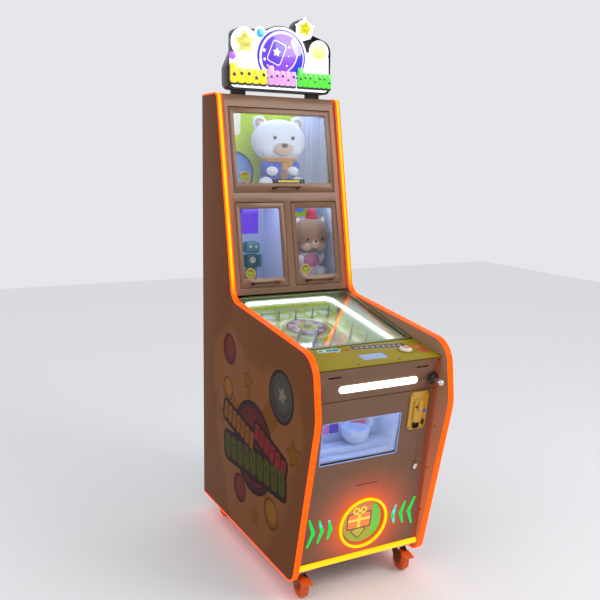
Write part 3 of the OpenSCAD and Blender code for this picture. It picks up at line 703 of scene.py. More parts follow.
def flap_print():
    """Outlet flap: green and yellow with a plain parcel and a pointer down to it."""
    finish = Finish("flap_print", "flap_print", coat_weight=0.8, coat_roughness=0.1)
    spot = finish.on(front)
    x, y = RING
    _, up, _ = finish.split(spot)
    low = ((y - up) * 0.012 + 0.4).clamped()
    colour = finish.mix(low, rgb(198, 116, 30), rgb(150, 160, 14))
    colour = finish.marks(
        colour, spot,
        ((84, 190, 34), "pill", x + 58, y + 4, 17, 66, 6),
        ((74, 30, 12), "pill", x - 14, y - 34, 24, 24, 3, 45),
        ((176, 168, 20), "pill", x - 14, y - 34, 20, 20, 2, 45),
        ((90, 34, 14), "pill", x - 14, y + 8, 52, 34, 8),
        ((232, 122, 40), "pill", x - 14, y + 8, 47, 29, 6),
        ((244, 210, 40), "pill", x - 14, y + 8, 6, 29, 1),
        ((244, 210, 40), "pill", x - 14, y + 12, 47, 5, 1),
    )
    for side in (-1, 1):
        colour = finish.mix(finish.hoop(spot, x - 14 + side * 15, y + 50, 11, 7), colour, rgb(244, 210, 40))
    worn(finish, colour, 300.0, 0.05, 0.3, 0.1, 0.04)
    # painted light: the print also glows faintly in its own colours, as if lit
    finish.glow(colour, 0.25)
    return finish


def sign_ball():
    """The sign's big ball: violet, deep blue below, with white bands, bubbles and a star."""
    finish = Finish("sign_ball", "topper_white", roughness=0.25, coat_weight=0.6)
    spot = finish.on(sign)
    x, y = 0, 136
    colour = finish.mix(finish.disc(spot, x - 20, y + 26, 92), rgb(46, 8, 240), rgb(150, 66, 240))
    colour = finish.marks(
        colour, spot,
        ((104, 44, 230), "disc", x - 62, y + 16, 66),
        ((255, 255, 255), "hoop", x - 20, y + 26, 92, 5),
        ((206, 202, 240), "pill", x + 66, y + 44, 17, 36, 16, 28),
        ((255, 255, 255), "pill", x - 22, y + 16, 33, 45, 14, -22),
        ((98, 40, 228), "pill", x - 22, y + 16, 29, 41, 11, -22),
        ((255, 255, 255), "star", x - 22, y + 18, 19, -8),
    )
    for dx, dy, reach in ((-76, -12, 6), (-62, -36, 4), (-46, -38, 3), (34, 42, 5), (32, 6, 3),
                          (24, -32, 4), (-78, 22, 7)):
        colour = finish.mix(finish.disc(spot, x + dx, y + dy, reach), colour, rgb(255, 255, 255))
    colour = finish.marks(
        colour, spot,
        ((255, 255, 255), "hoop", x + 4, y - 2, 98, 10),
        ((60, 24, 216), "hoop", x, y, 106, 9),
    )
    finish.put("Base Color", finish.mix(0.6, colour, BLACK))
    finish.glow(colour, 0.6)
    finish.bump(finish.noise(700.0), 0.04, 0.0004)
    return finish


def lit_print(name, colour, shade, strength=0.6, scale=26.0):
    """Coloured lit acrylic, brighter in the middle of each lamp."""
    finish = Finish(name, "topper_white", roughness=0.25, coat_weight=0.5)
    tint = finish.mix(finish.noise(scale, 1.0), shade, colour)
    finish.put("Base Color", finish.mix(0.5, tint, BLACK))
    finish.glow(tint, strength)
    finish.bump(finish.noise(700.0), 0.04, 0.0004)
    return finish


# ================= modelling =================
def only(piece):
    if bpy.context.object and bpy.context.object.mode != "OBJECT":
        bpy.ops.object.mode_set(mode="OBJECT")
    bpy.ops.object.select_all(action="DESELECT")
    piece.select_set(True)
    bpy.context.view_layer.objects.active = piece
    return piece


def add(kind, name, **size):
    bpy.ops.object.select_all(action="DESELECT")
    getattr(bpy.ops.mesh, f"primitive_{kind}_add")(**size)
    piece = bpy.context.object
    piece.name = piece.data.name = name
    return piece


def settle(piece):
    """Puts the object's place, turn and size into its mesh."""
    only(piece)
    bpy.ops.object.transform_apply(location=True, rotation=True, scale=True)
    return piece


def modify(piece, kind, **settings):
    only(piece)
    modifier = piece.modifiers.new(kind.title(), kind)
    for name, value in settings.items():
        setattr(modifier, name, value)
    bpy.ops.object.modifier_apply(modifier=modifier.name)
    return piece


def edit(piece, *steps, test=None, kind="FACE"):
    """Runs mesh operators on the faces (or corners) that pass the test, or on all of them."""
    only(piece)
    bpy.ops.object.mode_set(mode="EDIT")
    bpy.ops.mesh.select_mode(type=kind)
    bpy.ops.mesh.select_all(action="DESELECT" if test else "SELECT")
    if test:
        bpy.ops.object.mode_set(mode="OBJECT")
        for part in piece.data.polygons if kind == "FACE" else piece.data.vertices:
            part.select = test(part)
        bpy.ops.object.mode_set(mode="EDIT")
    for operator, settings in steps:
        operator(**settings)
    bpy.ops.object.mode_set(mode="OBJECT")
    return piece


def outward(piece):
    return edit(piece, (bpy.ops.mesh.remove_doubles, {"threshold": MERGE}),
                (bpy.ops.mesh.normals_make_consistent, {"inside": False}))


def broken(piece, width, steps=2, degrees=50):
    """Bevels the edges that are sharper than this."""
    return modify(piece, "BEVEL", width=width, segments=steps, limit_method="ANGLE",
                  angle_limit=math.radians(degrees))


def combined(piece, tool, operation):
    """Adds the tool's shape to the piece, or cuts it out, and throws the tool away."""
    modify(piece, "BOOLEAN", operation=operation, object=tool, solver="EXACT")
    bpy.data.objects.remove(tool)
    return piece


def sunk(piece, rim, depth):
    """Sinks the top of a flat piece inside a rim."""
    return edit(piece, (bpy.ops.mesh.inset, {"thickness": rim}),
                (bpy.ops.mesh.extrude_region_move,
                 {"TRANSFORM_OT_translate": {"value": (0, 0, -depth)}}),
                test=lambda face: face.normal.z > 0.9)


def rimmed(piece, width):
    """Draws a fine rim round the front of a bead."""
    return edit(piece, (bpy.ops.mesh.inset, {"thickness": width}),
                test=lambda face: face.normal.y < -0.8)


def smooth(piece, degrees=35):
    only(piece)
    bpy.ops.object.shade_smooth_by_angle(angle=math.radians(degrees))
    return piece


def round_corners(piece, corner, steps=5):
    return edit(piece, (bpy.ops.mesh.bevel,
                        {"offset": corner, "segments": steps, "affect": "VERTICES"}), kind="VERT")


def card(name, half_w, half_h, corner=0.0, steps=5):
    """A flat rectangle with round corners."""
    piece = add("plane", name, size=2)
    piece.scale = (half_w, half_h, 1)
    settle(piece)
    return round_corners(piece, corner, steps) if corner else piece


def flat_star(name, reach, waist=0.55):
    piece = add("circle", name, vertices=10, radius=reach, fill_type="NGON")
    for vertex in piece.data.vertices:
        if vertex.index % 2:
            vertex.co *= waist
    return round_corners(piece, reach * 0.1, 3)


def flat_disc(name, radius, count=48):
    return add("circle", name, vertices=count, radius=radius, fill_type="NGON")


def thick(piece, depth, edge=0.0, steps=2):
    """Gives a flat shape its thickness, upwards, and softens its rim."""
    if piece.data.polygons[0].normal.z < 0:
        edit(piece, (bpy.ops.mesh.flip_normals, {}))
    modify(piece, "SOLIDIFY", thickness=depth, offset=1)
    outward(piece)
    if edge:
        broken(piece, edge, steps)
    return smooth(piece)


def joined(name, pieces):
    bpy.ops.object.select_all(action="DESELECT")
    for piece in pieces:
        piece.select_set(True)
    bpy.context.view_layer.objects.active = pieces[0]
    if len(pieces) > 1:
        bpy.ops.object.join()
    pieces[0].name = pieces[0].data.name = name
    return pieces[0]


def twin(piece, name):
    copy = piece.copy()
    copy.data = piece.data.copy()
    copy.name = copy.data.name = name
    bpy.context.scene.collection.objects.link(copy)
    return copy


def done(piece, finish, body="root", replaced=()):
    piece.data.materials.clear()
    piece.data.materials.append(finish.material)
    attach(piece, body)
    if replaced:
        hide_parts(*replaced)
    return piece


def coat(finish, *names):
    """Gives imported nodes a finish."""
    for name in names:
        for slot in nodes[name].material_slots:
            slot.material = finish.material


def eased(node, finish, body, width=0.0012, steps=2):
    """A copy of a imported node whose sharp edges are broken, as the real part's are."""
    piece = twin(nodes[node], node + "_eased")
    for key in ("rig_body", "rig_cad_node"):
        if key in piece:
            del piece[key]
    piece.parent = None
    piece.matrix_world = Matrix.Identity(4)
    edit(piece, (bpy.ops.mesh.remove_doubles, {"threshold": MERGE}),
         (bpy.ops.mesh.dissolve_limited, {"angle_limit": math.radians(0.5)}))
    modify(piece, "BEVEL", width=width, segments=steps, limit_method="ANGLE",
           angle_limit=math.radians(40), use_clamp_overlap=True)
    smooth(piece, 30)
    return done(piece, finish, body, (node,))


# ================= finishes used by the pieces =================
paint = cabinet_paint()
laminate = side_laminate()
dark_board = board("dark_board", rgb(70, 52, 40))
door_board = board("door_board", rgb(104, 76, 52))
white_board = worn(Finish("white_melamine", "white_board"), rgb(226, 232, 246),
                   600.0, 0.03, 0.4, 0.1, 0.05)
glass = pane()
orange = neon()
yellow_bar = glowing("yellow_bar", "yellow_light", rgb(255, 160, 0), 2.2, rgb(90, 70, 0))
white_bar = glowing("white_bar", "white_light", rgb(240, 248, 255), 2.6)
shelf_lamp = glowing("shelf_lamp", "white_light", rgb(186, 208, 255), 14.0)
zinc = metal("zinc", "steel", rgb(186, 184, 182), 0.36)
dark_zinc = metal("dark_zinc", "steel", rgb(92, 84, 78), 0.34)
# the forks' brown-orange tint is a painted reflection of the orange tubes on grey zinc
fork_zinc = metal("fork_zinc", "steel", rgb(150, 96, 62), 0.36)
chrome = metal("chrome", "chrome", rgb(228, 226, 224), 0.14, (1, 8, 8))
alloy = metal("alloy", "alloy", rgb(176, 186, 150), 0.34, (0.5, 20, 20))
grey_coat = worn(Finish("grey_coat", "grey_metal"), rgb(86, 88, 92), 700.0, 0.1, 0.5, 0.12, 0.2)
tray_white = plastic("tray_white", "tray_plastic", rgb(186, 204, 240), 0.28)
ivory = plastic("ivory_plastic", "ivory_plastic", rgb(226, 214, 202), 0.24)
coin_yellow = plastic("coin_yellow", "coin_yellow", rgb(190, 142, 16), 0.26, coat_weight=0.5)
blue_plastic = plastic("blue_plastic", "blue_plastic", rgb(20, 92, 226), 0.22)
black_plastic = plastic("black_plastic", "black_plastic", rgb(24, 16, 12), 0.34)
teal = plastic("teal_plastic", "teal_plastic", rgb(66, 140, 144), 0.16, alpha=0.72)
teal_dark = plastic("teal_dark", "teal_plastic", rgb(34, 92, 100), 0.2)
sign_black = plastic("sign_black", "topper_black", rgb(40, 34, 38), 0.3)
sign_white = lit_print("sign_white", rgb(255, 255, 255), rgb(236, 240, 248), 0.9, 9.0)
# the tread's deep orange is painted light: the orange tubes' light falling on the caster wheels and pedals
orange_lit_rubber = worn(Finish("wheel_tread", "wheel_rubber"), rgb(206, 84, 16), 240.0, 0.16, 0.6, 0.14, 0.3)
rim_grey = plastic("rim_grey", "grey_metal", rgb(72, 66, 62), 0.5)
wall_print = field_wall()


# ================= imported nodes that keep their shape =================
def dress_nodes():
    coat(orange, "edge_lights")
    coat(glass, "big_prize_window", "left_prize_window", "right_prize_window", "front_door_window",
         "playfield_glass")
    coat(white_board, "prize_shelves")
    coat(backdrop_print(), "prize_backdrop")
    coat(field_print(), "playfield_board")
    coat(wall_print, "playfield_surround", "playfield_lanes")
    coat(white_bar, "playfield_light")
    coat(zinc, "playfield_posts", "plunger_spring", "caster_plates")
    coat(chrome, "game_ball", "plunger_rod")
    coat(door_glow(), "door_lights")
    coat(yellow_bar, "bottom_light")
    coat(flap_print(), "prize_flap")
    coat(tray_white, "prize_chute")
    coat(blue_plastic, "coin_button")
    coat(dark_board, "base_board")
    coat(grey_coat, "cash_box", "control_box")


def ease_nodes():
    for node in ("left_side_panel", "right_side_panel"):
        eased(node, laminate, "root", 0.0008)
    for node in ("upper_front_frame", "front_upper_panel", "roof_panel"):
        eased(node, paint, "root", 0.001)
    for node in ("big_prize_door", "left_prize_door", "right_prize_door"):
        eased(node, paint, node, 0.0009)
    eased("front_door", paint, "front_door", 0.001)
    eased("back_panel", dark_board, "root")
    eased("rear_door", door_board, "rear_door")
    eased("deck_panel", deck_print(), "root", 0.0008)
    eased("front_light_bar", white_bar, "root", 0.0015)
    eased("glass_frame", alloy, "glass_frame", 0.0008)
    eased("coin_plate", coin_yellow, "front_door", 0.0016, 3)
    eased("coin_lever", black_plastic, "coin_lever", 0.0008)
    eased("door_lock", chrome, "door_lock", 0.0008)
    eased("plunger_housing", dark_zinc, "root", 0.001)
    eased("start_button", dome_print(), "start_button", 0.0008)
    eased("topper_housing", sign_black, "root", 0.0015)
    eased("power_inlet", black_plastic, "root", 0.0006)
    for corner in ("front_left", "front_right", "rear_left", "rear_right"):
        eased(corner + "_fork", fork_zinc, corner + "_fork", 0.0006)
        eased(corner + "_wheel", orange_lit_rubber, corner + "_wheel", 0.001)
    for corner in ("front_left", "front_right"):
        eased(corner + "_pedal", orange_lit_rubber, corner + "_pedal", 0.0008)


# ================= screws and small fittings =================
def button_head(radius):
    """A low domed screw head with a hex socket."""
    head = add("cylinder", "screw", vertices=18, radius=radius, depth=radius * 0.5,
               location=(0, 0, radius * 0.25))
    settle(head)
    sunk(head, radius * 0.5, radius * 0.3)
    return smooth(modify(head, "BEVEL", width=radius * 0.14, segments=2, limit_method="ANGLE"))


def screws(name, face, places, radius, finish, body="root", out=0.0):
    """One screw is made and copied to each place."""
    first = button_head(radius)
    heads = [twin(first, "screw_copy") for _ in places[1:]] + [first]
    for head, (x, y) in zip(heads, places):
        face.lay(head, x, y, out)
    return done(joined(name, heads), finish, body)


def fit_screws():
    deck_places = [(x, y) for x in (-248, -84, 84, 250) for y in (-162,)] + [(-248, -12), (250, -52)]
    screws("deck_screws", deck, deck_places, 3.2, dark_zinc)
    screws("panel_screws", front, [(-248, 770), (248, 770), (-248, 672)], 3.0, dark_zinc)
    back_places = [(s * 250, 130 + 165 * i) for s in (-1, 1) for i in range(11)]
    screws("back_screws", back, back_places, 3.6, dark_zinc, out=-1.6)
    rows = [(-430, 610), (-400, 440), (-372, 260)]
    for name, way in (("left", -1), ("right", 1)):
        inner = Face((way * 0.26, 0, 0), Z, -way * Y)
        screws(name + "_inner_screws", inner, [(-way * y, z) for y, z in rows], 3.0, dark_zinc)


# ================= prize windows and compartments =================
gold = worn(Finish("gold_foil", "coin_yellow", coat_weight=0.6), rgb(206, 168, 66),
            600.0, 0.1, 0.3, 0.1, 0.08)
sticker_green = plastic("sticker_green", "flap_print", rgb(104, 160, 34), 0.35)
ink_black = plastic("ink_black", "black_plastic", rgb(18, 16, 22), 0.4)
ink_yellow = plastic("ink_yellow", "coin_yellow", rgb(238, 214, 40), 0.35)
ink_blue = plastic("ink_blue", "blue_plastic", rgb(28, 96, 170), 0.35)
PANE_OUT, ON_STICKER = -7.0, -6.4
STRIP_UP = -349
INNER_WALL = 0.2594


def round_sticker(body, x, y):
    """A foil token on the inside of a window: rim, field and a plain green bar."""
    rim = thick(flat_disc("rim", 22), 0.6, 0.2)
    well = slope.lay(sunk(rim, 3.5, 0.25), x, y, PANE_OUT)
    well.name = body + "_token"
    done(well, gold, body)
    bar = thick(card("bar", 12, 6.5, 4), 0.3, 0.1)
    slope.lay(bar, x, y, ON_STICKER)
    bar.name = body + "_token_bar"
    done(bar, sticker_green, body)


def name_strip():
    """Dark strip at the foot of the big window, with plain beads where a name would be."""
    strip = thick(card("prize_strip", 74, 9, 3), 0.6, 0.2)
    done(slope.lay(strip, 20, STRIP_UP, PANE_OUT), ink_black, "big_prize_door")
    beads = []
    for i in range(9):
        bead = card("bead", 4.6, 4.6, 2) if i % 2 else flat_disc("bead", 4.8, 20)
        beads.append(slope.lay(thick(bead, 0.4, 0.1), -24 + 11 * i, STRIP_UP, ON_STICKER))
    done(joined("prize_strip_beads", beads), ink_yellow, "big_prize_door")
    ends = [slope.lay(thick(flat_star("end", 6), 0.4, 0.1), x, STRIP_UP, ON_STICKER) for x in (-42, 82)]
    done(joined("prize_strip_stars", ends), ink_blue, "big_prize_door")


def compartment_lamps():
    """A diffused strip along the top front of each compartment, in an alloy channel."""
    for name, x, y, z, half in (("top", 0, 400, 1788, 240), ("left", -134, 330, 1391, 112),
                                ("right", 134, 330, 1391, 112)):
        face = Face((0, y * MM, z * MM), -Y, X)
        lamp = thick(card(name + "_compartment_lamp", half, 9, 3), 5, 1.2)
        done(face.lay(lamp, x, 0, 0), shelf_lamp)
        rail = thick(card(name + "_lamp_channel", half + 4, 12, 2), 3, 0.6)
        done(face.lay(rail, x, 0, -3.2), alloy)


def compartment_liners():
    """White liners on the cabinet's inner walls, with a ribbed joint and screws."""
    for name, z0, z1, y0, side in (("top_left", 1418, 1792, 384, -1), ("top_right", 1418, 1792, 384, 1),
                                   ("low_left", 1047, 1396, 306, -1), ("low_right", 1047, 1396, 306, 1)):
        face = Face((side * INNER_WALL, 0, 0), Z, side * Y * -1)
        half_d, half_h = (478 - y0) / 2, (z1 - z0) / 2
        liner = thick(card(name + "_liner", half_d, half_h, 2), 1.2, 0.3)
        done(face.lay(liner, -side * (y0 + half_d), z0 + half_h, 0), white_board)
        places = [(-side * (y0 + half_d), z0 + half_h + s * half_h * 0.6) for s in (-1, 0, 1)]
        screws(name + "_liner_screws", face, places, 2.6, zinc, out=1.2)
    for x in (196, 218):
        rib = thick(card("wall_rib_%d" % x, 4, 180, 1.5), 3, 0.8)
        done(backdrop.lay(rib, x, 1602, 0.2), white_board)


# ================= stuffed prizes =================
def ball(name, centre, radii, degrees=(0, 0, 0)):
    piece = add("uv_sphere", name, segments=32, ring_count=16, radius=1)
    piece.scale, piece.location = radii, centre
    piece.rotation_euler = [math.radians(turn) for turn in degrees]
    return settle(piece)


def stuffed(name, shapes, finish, replaced=(), voxel=0.005, cap=0.004):
    """Sewn cloth filled until it rounds out: the joined shapes are remeshed, then blown up."""
    piece = modify(joined(name, shapes), "REMESH", mode="VOXEL", voxel_size=voxel)
    rest = [vertex.co.copy() for vertex in piece.data.vertices]
    only(piece)
    cloth = piece.modifiers.new("Stuffing", "CLOTH")
    cloth.settings.use_pressure = True
    cloth.settings.uniform_pressure_force = 4
    cloth.settings.effector_weights.gravity = 0
    for step in range(1, 21):
        bpy.context.scene.frame_set(step)
    bpy.ops.object.modifier_apply(modifier=cloth.name)
    bpy.context.scene.frame_set(1)
    for vertex, start in zip(piece.data.vertices, rest):
        move = vertex.co - start
        if move.length > cap:
            vertex.co = start + move.normalized() * cap
    modify(piece, "SMOOTH", factor=0.5, iterations=3)
    modify(piece, "SUBSURF", levels=1, render_levels=1)
    only(piece)
    bpy.ops.object.shade_smooth()
    done(piece, finish, "root", replaced)
    return piece


class Doll:
    """Places on a sitting plush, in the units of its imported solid, scaled to that solid's box."""

    WIDTH, FRONT, BACK = 161.2, -72.0, 56.0

    def __init__(self, node, top):
        low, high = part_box(node)
        self.scale = Vector(((high.x - low.x) / self.WIDTH, (high.y - low.y) / (self.BACK - self.FRONT),
                             (high.z - low.z) / top))
        self.base = Vector(((low.x + high.x) / 2, low.y - self.FRONT * self.scale.y, low.z))

    def at(self, x, y, z):
        return self.base + Vector((x * self.scale.x, y * self.scale.y, z * self.scale.z))

    def ball(self, name, centre, radii, degrees=(0, 0, 0)):
        size = [r * s for r, s in zip(radii, self.scale)]
        return ball(name, self.at(*centre), size, degrees)

    def head_front(self, x, z):
        """How far forward the head reaches at this place."""
        part = 1 - (x / 80.6) ** 2 - ((z - 142) / 62) ** 2
        return -6 - 62 * math.sqrt(max(part, 0.0))


def bead_eye(doll, name, x, z, radii, finish):
    """A domed eye with a fine rim."""
    eye = doll.ball(name, (x, doll.head_front(x, z) - 0.5, z), radii)
    centre_y = doll.at(x, doll.head_front(x, z), z).y
    edit(eye, (bpy.ops.mesh.inset, {"thickness": 0.0008}),
         test=lambda face: face.center.y < centre_y - radii[1] * doll.scale.y * 0.75)
    only(eye)
    bpy.ops.object.shade_smooth()
    return done(eye, finish)


white_fur = plush("white_fur", "white_plush", rgb(196, 202, 220), rgb(236, 240, 250))
brown_fur = plush("brown_fur", "brown_plush", rgb(122, 84, 60), rgb(178, 140, 112))
tan_fur = plush("tan_fur", "brown_plush", rgb(176, 146, 126), rgb(214, 190, 172))
cream_fur = plush("cream_fur", "white_plush", rgb(206, 196, 198), rgb(240, 232, 230))
acorn_felt = plush("acorn_felt", "brown_plush", rgb(112, 66, 40), rgb(156, 100, 66))
blue_knit = knit("blue_knit", "blue_plastic", rgb(10, 84, 214), rgb(4, 52, 150))
red_knit = knit("red_knit", "wheel_rubber", rgb(214, 44, 62), rgb(150, 22, 40))
pink_knit = knit("pink_knit", "white_plush", rgb(216, 150, 178), rgb(178, 110, 150))
eye_black = plastic("eye_black", "black_plastic", rgb(22, 22, 34), 0.25)
mustard_knit = knit("mustard_knit", "coin_yellow", rgb(214, 150, 46), rgb(160, 102, 24))
nose_brown = plastic("nose_brown", "black_plastic", rgb(66, 40, 30), 0.3)


def bear_head(doll, name, ear, finish, replaced=()):
    shapes = [doll.ball("skull", (0, -6, 142), (79, 60, 60)),
              doll.ball("muzzle", (0, -56, 122), (24, 16, 15))]
    for side in (-1, 1):
        shapes.append(doll.ball("ear", (side * 55, 0, 190), (ear, 12, ear - 1)))
        shapes.append(doll.ball("cheek", (side * 34, -36, 120), (26, 22, 20)))
    return stuffed(name, shapes, finish, replaced)


def inner_ears(doll, name, radius, finish):
    for side, tag in SIDES:
        inner = doll.ball(name + "_inner_ear_" + tag, (side * 55, -9, 190), (radius, 6, radius))
        stuffed(inner.name, [inner], finish, voxel=0.0025, cap=0.0008)


def white_bear():
    doll = Doll("top_plush_prize", 212)
    bear_head(doll, "white_bear_head", 22, white_fur, ("top_plush_prize",))
    jumper = [doll.ball("body", (0, 0, 54), (52, 44, 50)), doll.ball("skirt", (0, -4, 34), (55, 46, 32))]
    for side in (-1, 1):
        jumper.append(doll.ball("sleeve", (side * 42, -26, 74), (17, 24, 17), (24, 0, side * -24)))
    stuffed("white_bear_jumper", jumper, blue_knit)
    limbs = []
    for side in (-1, 1):
        limbs.append(doll.ball("paw", (side * 30, -54, 62), (17, 17, 13)))
        limbs.append(doll.ball("foot", (side * 46, -46, 25), (22, 24, 22)))
        limbs.append(doll.ball("leg", (side * 42, -26, 22), (20, 26, 18)))
    stuffed("white_bear_limbs", limbs, white_fur, voxel=0.004)
    snout = doll.ball("snout", (0, -58, 121), (30, 18, 20))
    stuffed("white_bear_muzzle", [snout], tan_fur, voxel=0.0035, cap=0.001)
    inner_ears(doll, "white_bear", 14, tan_fur)
    for side, tag in SIDES:
        bead_eye(doll, "white_bear_eye_" + tag, side * 26, 150, (5, 4.5, 5), eye_black)
    nose = doll.ball("white_bear_nose", (0, -75, 130), (9, 5, 6))
    done(smooth(rimmed(nose, 0.001), 80), nose_brown)
    scarf = add("torus", "white_bear_scarf", major_radius=1.0, minor_radius=0.2, major_segments=48,
                minor_segments=12)
    scarf.scale = [46 * doll.scale.x, 40 * doll.scale.y, 34 * doll.scale.z]
    scarf.location = doll.at(0, -4, 92)
    settle(scarf)
    tails = [doll.ball("tail", (x, -44, 74), (9, 4, 20)) for x in (8, 26)]
    stuffed("white_bear_neckcloth", [scarf, *tails], mustard_knit, voxel=0.004, cap=0.002)
    snack = doll.ball("white_bear_acorn", (2, -62, 52), (13, 9, 12))
    stuffed("white_bear_acorn_pad", [snack], acorn_felt, voxel=0.003, cap=0.001)


def brown_bear():
    doll = Doll("bear_plush_prize", 208)
    bear_head(doll, "brown_bear_head", 18, brown_fur, ("bear_plush_prize",))
    muzzle = [doll.ball("snout", (0, -58, 119), (23, 17, 15))]
    for side in (-1, 1):
        muzzle.append(doll.ball("cheek", (side * 31, -40, 112), (25, 22, 18)))
    stuffed("brown_bear_muzzle", muzzle, tan_fur, voxel=0.0035, cap=0.001)
    body = [doll.ball("body", (0, 0, 54), (46, 40, 50))]
    for side in (-1, 1):
        body.append(doll.ball("arm", (side * 46, -18, 66), (13, 15, 22), (20, side * 24, 0)))
        body.append(doll.ball("foot", (side * 40, -46, 25), (20, 22, 20)))
        body.append(doll.ball("leg", (side * 36, -24, 20), (18, 24, 16)))
    stuffed("brown_bear_body", body, cream_fur)
    stuffed("brown_bear_bib", [doll.ball("bib", (0, -22, 62), (38, 26, 26))], pink_knit, voxel=0.004,
            cap=0.002)
    for side, tag in SIDES:
        bead_eye(doll, "brown_bear_eye_" + tag, side * 32, 134, (4.5, 4, 4.5), eye_black)
    inner_ears(doll, "brown_bear", 11, cream_fur)
    nose = doll.ball("brown_bear_nose", (0, -72, 127), (6, 4, 4))
    done(smooth(rimmed(nose, 0.0008), 80), eye_black)
    cap = [doll.ball("crown", (4, -6, 210), (22, 22, 20)), doll.ball("brim", (4, -10, 199), (28, 27, 6))]
    stuffed("brown_bear_cap", cap, red_knit, voxel=0.0035, cap=0.001)


def toy_robot():
    """A see-through vinyl robot: rounded blocks with a chest dial and eyes."""
    low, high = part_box("robot_prize")
    centre = (low + high) / 2
    unit = (high.z - low.z) / 176

    def block(name, x, y, z, half, corner, finish, **extra):
        piece = add("cube", name, size=2)
        piece.scale = [h * unit for h in half]
        piece.location = (centre.x + x * unit, centre.y + y * unit, low.z + z * unit)
        settle(piece)
        modify(piece, "BEVEL", width=corner * unit, segments=5, limit_method="NONE")
        edit(piece, (bpy.ops.mesh.inset, {"thickness": 0.0022}), (bpy.ops.mesh.extrude_region_move,
             {"TRANSFORM_OT_translate": {"value": (0, 0.0012, 0)}}),
             test=lambda face: face.normal.y < -0.98)
        return done(smooth(piece, 50), finish, **extra)

    block("robot_head", 0, 0, 150, (33, 23, 24), 12, teal, replaced=("robot_prize",))
    block("robot_chest", 0, 0, 92, (29, 18, 29), 9, teal_dark)
    for side, tag in SIDES:
        block("robot_arm_" + tag, side * 39, 0, 92, (7.5, 9, 27), 6, teal)
        block("robot_leg_" + tag, side * 15, 0, 34, (9, 12, 27), 6, teal)
        block("robot_boot_" + tag, side * 16, -2, 7, (12, 15, 7), 4, teal_dark)
        place = (centre.x + side * 13 * unit, centre.y - 23 * unit, low.z + 154 * unit)
        eye = ball("robot_eye_" + tag, place, [6 * unit, 3 * unit, 6 * unit])
        done(smooth(rimmed(eye, 0.0006), 80), ivory)
    dial = thick(flat_disc("robot_dial", 13), 2, 0.6)
    dial_face = Face((centre.x, centre.y - 17.2 * unit, low.z + 98 * unit), Z)
    done(dial_face.lay(sunk(dial, 3, 1)), ivory)


# ================= sign on the roof =================
SIGN_BODY = [(-226, 8), (-226, 140), (220, 170), (224, 8)]


def outline(name, points, corner):
    piece = add("circle", name, vertices=len(points), radius=1, fill_type="NGON")
    for vertex, (x, y) in zip(piece.data.vertices, points):
        vertex.co = (x, y, 0)
    return round_corners(piece, corner, 6)


def sign_face():
    """White lit sheet: overlapping round lobes and a star, welded into one."""
    sheet = thick(outline("sign_sheet", SIGN_BODY, 26), 3)
    lobes = [(flat_disc("lobe", 58, 64), -163, 182), (flat_disc("lobe", 27), -95, 220),
             (flat_disc("lobe", 118, 96), 0, 136), (flat_disc("lobe", 46, 64), 174, 170),
             (flat_disc("lobe", 30), 96, 238), (flat_disc("lobe", 40), 106, 252),
             (flat_star("lobe", 49), 106, 256)]
    for lobe, x, y in lobes:
        thick(lobe, 3)
        lobe.data.transform(Matrix.Translation((x, y, 0)))
        combined(sheet, lobe, "UNION")
    broken(sheet, 0.8)
    done(smooth(sign.lay(sheet), 30), sign_white, replaced=("topper_face",))


def sign_shapes():
    yellow = lit_print("sign_yellow", rgb(255, 246, 40), rgb(246, 226, 0))
    pale_yellow = lit_print("sign_pale_yellow", rgb(255, 252, 190), rgb(250, 240, 70))
    cyan = lit_print("sign_cyan", rgb(40, 236, 240), rgb(20, 150, 226))
    violet = lit_print("sign_violet", rgb(206, 120, 244), rgb(150, 70, 240))
    pink = lit_print("sign_pink", rgb(250, 196, 250), rgb(226, 150, 232))
    green = lit_print("sign_green", rgb(120, 240, 40), rgb(30, 232, 70))
    navy = lit_print("sign_navy", rgb(60, 70, 100), rgb(24, 24, 40), 0.05)
    done(sign.lay(thick(flat_disc("sign_big_ball", 108, 96), 3, 1.0), 0, 136, 3), sign_ball())
    for name, reach, x, y, lean, finish in (("left", 50, -163, 182, 4, pale_yellow),
                                            ("right", 34, 106, 256, -12, yellow)):
        star = thick(flat_star("sign_star_" + name, reach), 2.4, 0.8)
        done(sign.lay(sunk(star, reach * 0.11, 0.8), x, y, 3, lean), finish)
    for name, radius, x, y, finish in (("cyan", 17, -95, 222, cyan), ("violet", 15, -216, 128, violet),
                                       ("yellow", 32, 174, 170, pale_yellow)):
        dome = thick(flat_disc("sign_ball_" + name, radius, 40), 4, 2.4, 4)
        done(sign.lay(dome, x, y, 3), finish)
    rows = (("yellow", -228, -68, 5, yellow), ("pink", -62, 64, 5, pink), ("green", 72, 230, 7, green))
    for name, start, end, count, finish in rows:
        sign_row(name, start, end, count, finish, navy)


def sign_row(name, start, end, count, finish, shadow):
    """A row of raised round-cornered tiles, each with a ball or star set on it, on a dark shadow."""
    pitch = (end - start) / count
    shapes, shadows, marks = [], [], []
    for i in range(count):
        tall = 38 if i == 0 else 29
        x, y = start + pitch * (i + 0.5), 24 + tall
        tile = thick(card("tile", pitch * 0.47, tall, pitch * 0.3), 12, 2.4, 3)
        shapes.append(sign.lay(tile, x, y, 5.6))
        shade = thick(card("shade", pitch * 0.47 + 2.5, tall + 2.5, pitch * 0.3), 4.5, 0.8)
        shadows.append(sign.lay(shade, x + 3, y - 5, 1))
        mark = flat_star("mark", pitch * 0.3) if i % 2 else flat_disc("mark", pitch * 0.22, 24)
        marks.append(sign.lay(thick(mark, 1.2, 0.4), x, y + (8 if i % 3 else -6), 17.6))
    done(joined("sign_row_" + name, shapes), finish)
    done(joined("sign_shadow_" + name, shadows), shadow)
    done(joined("sign_marks_" + name, marks), shadow)


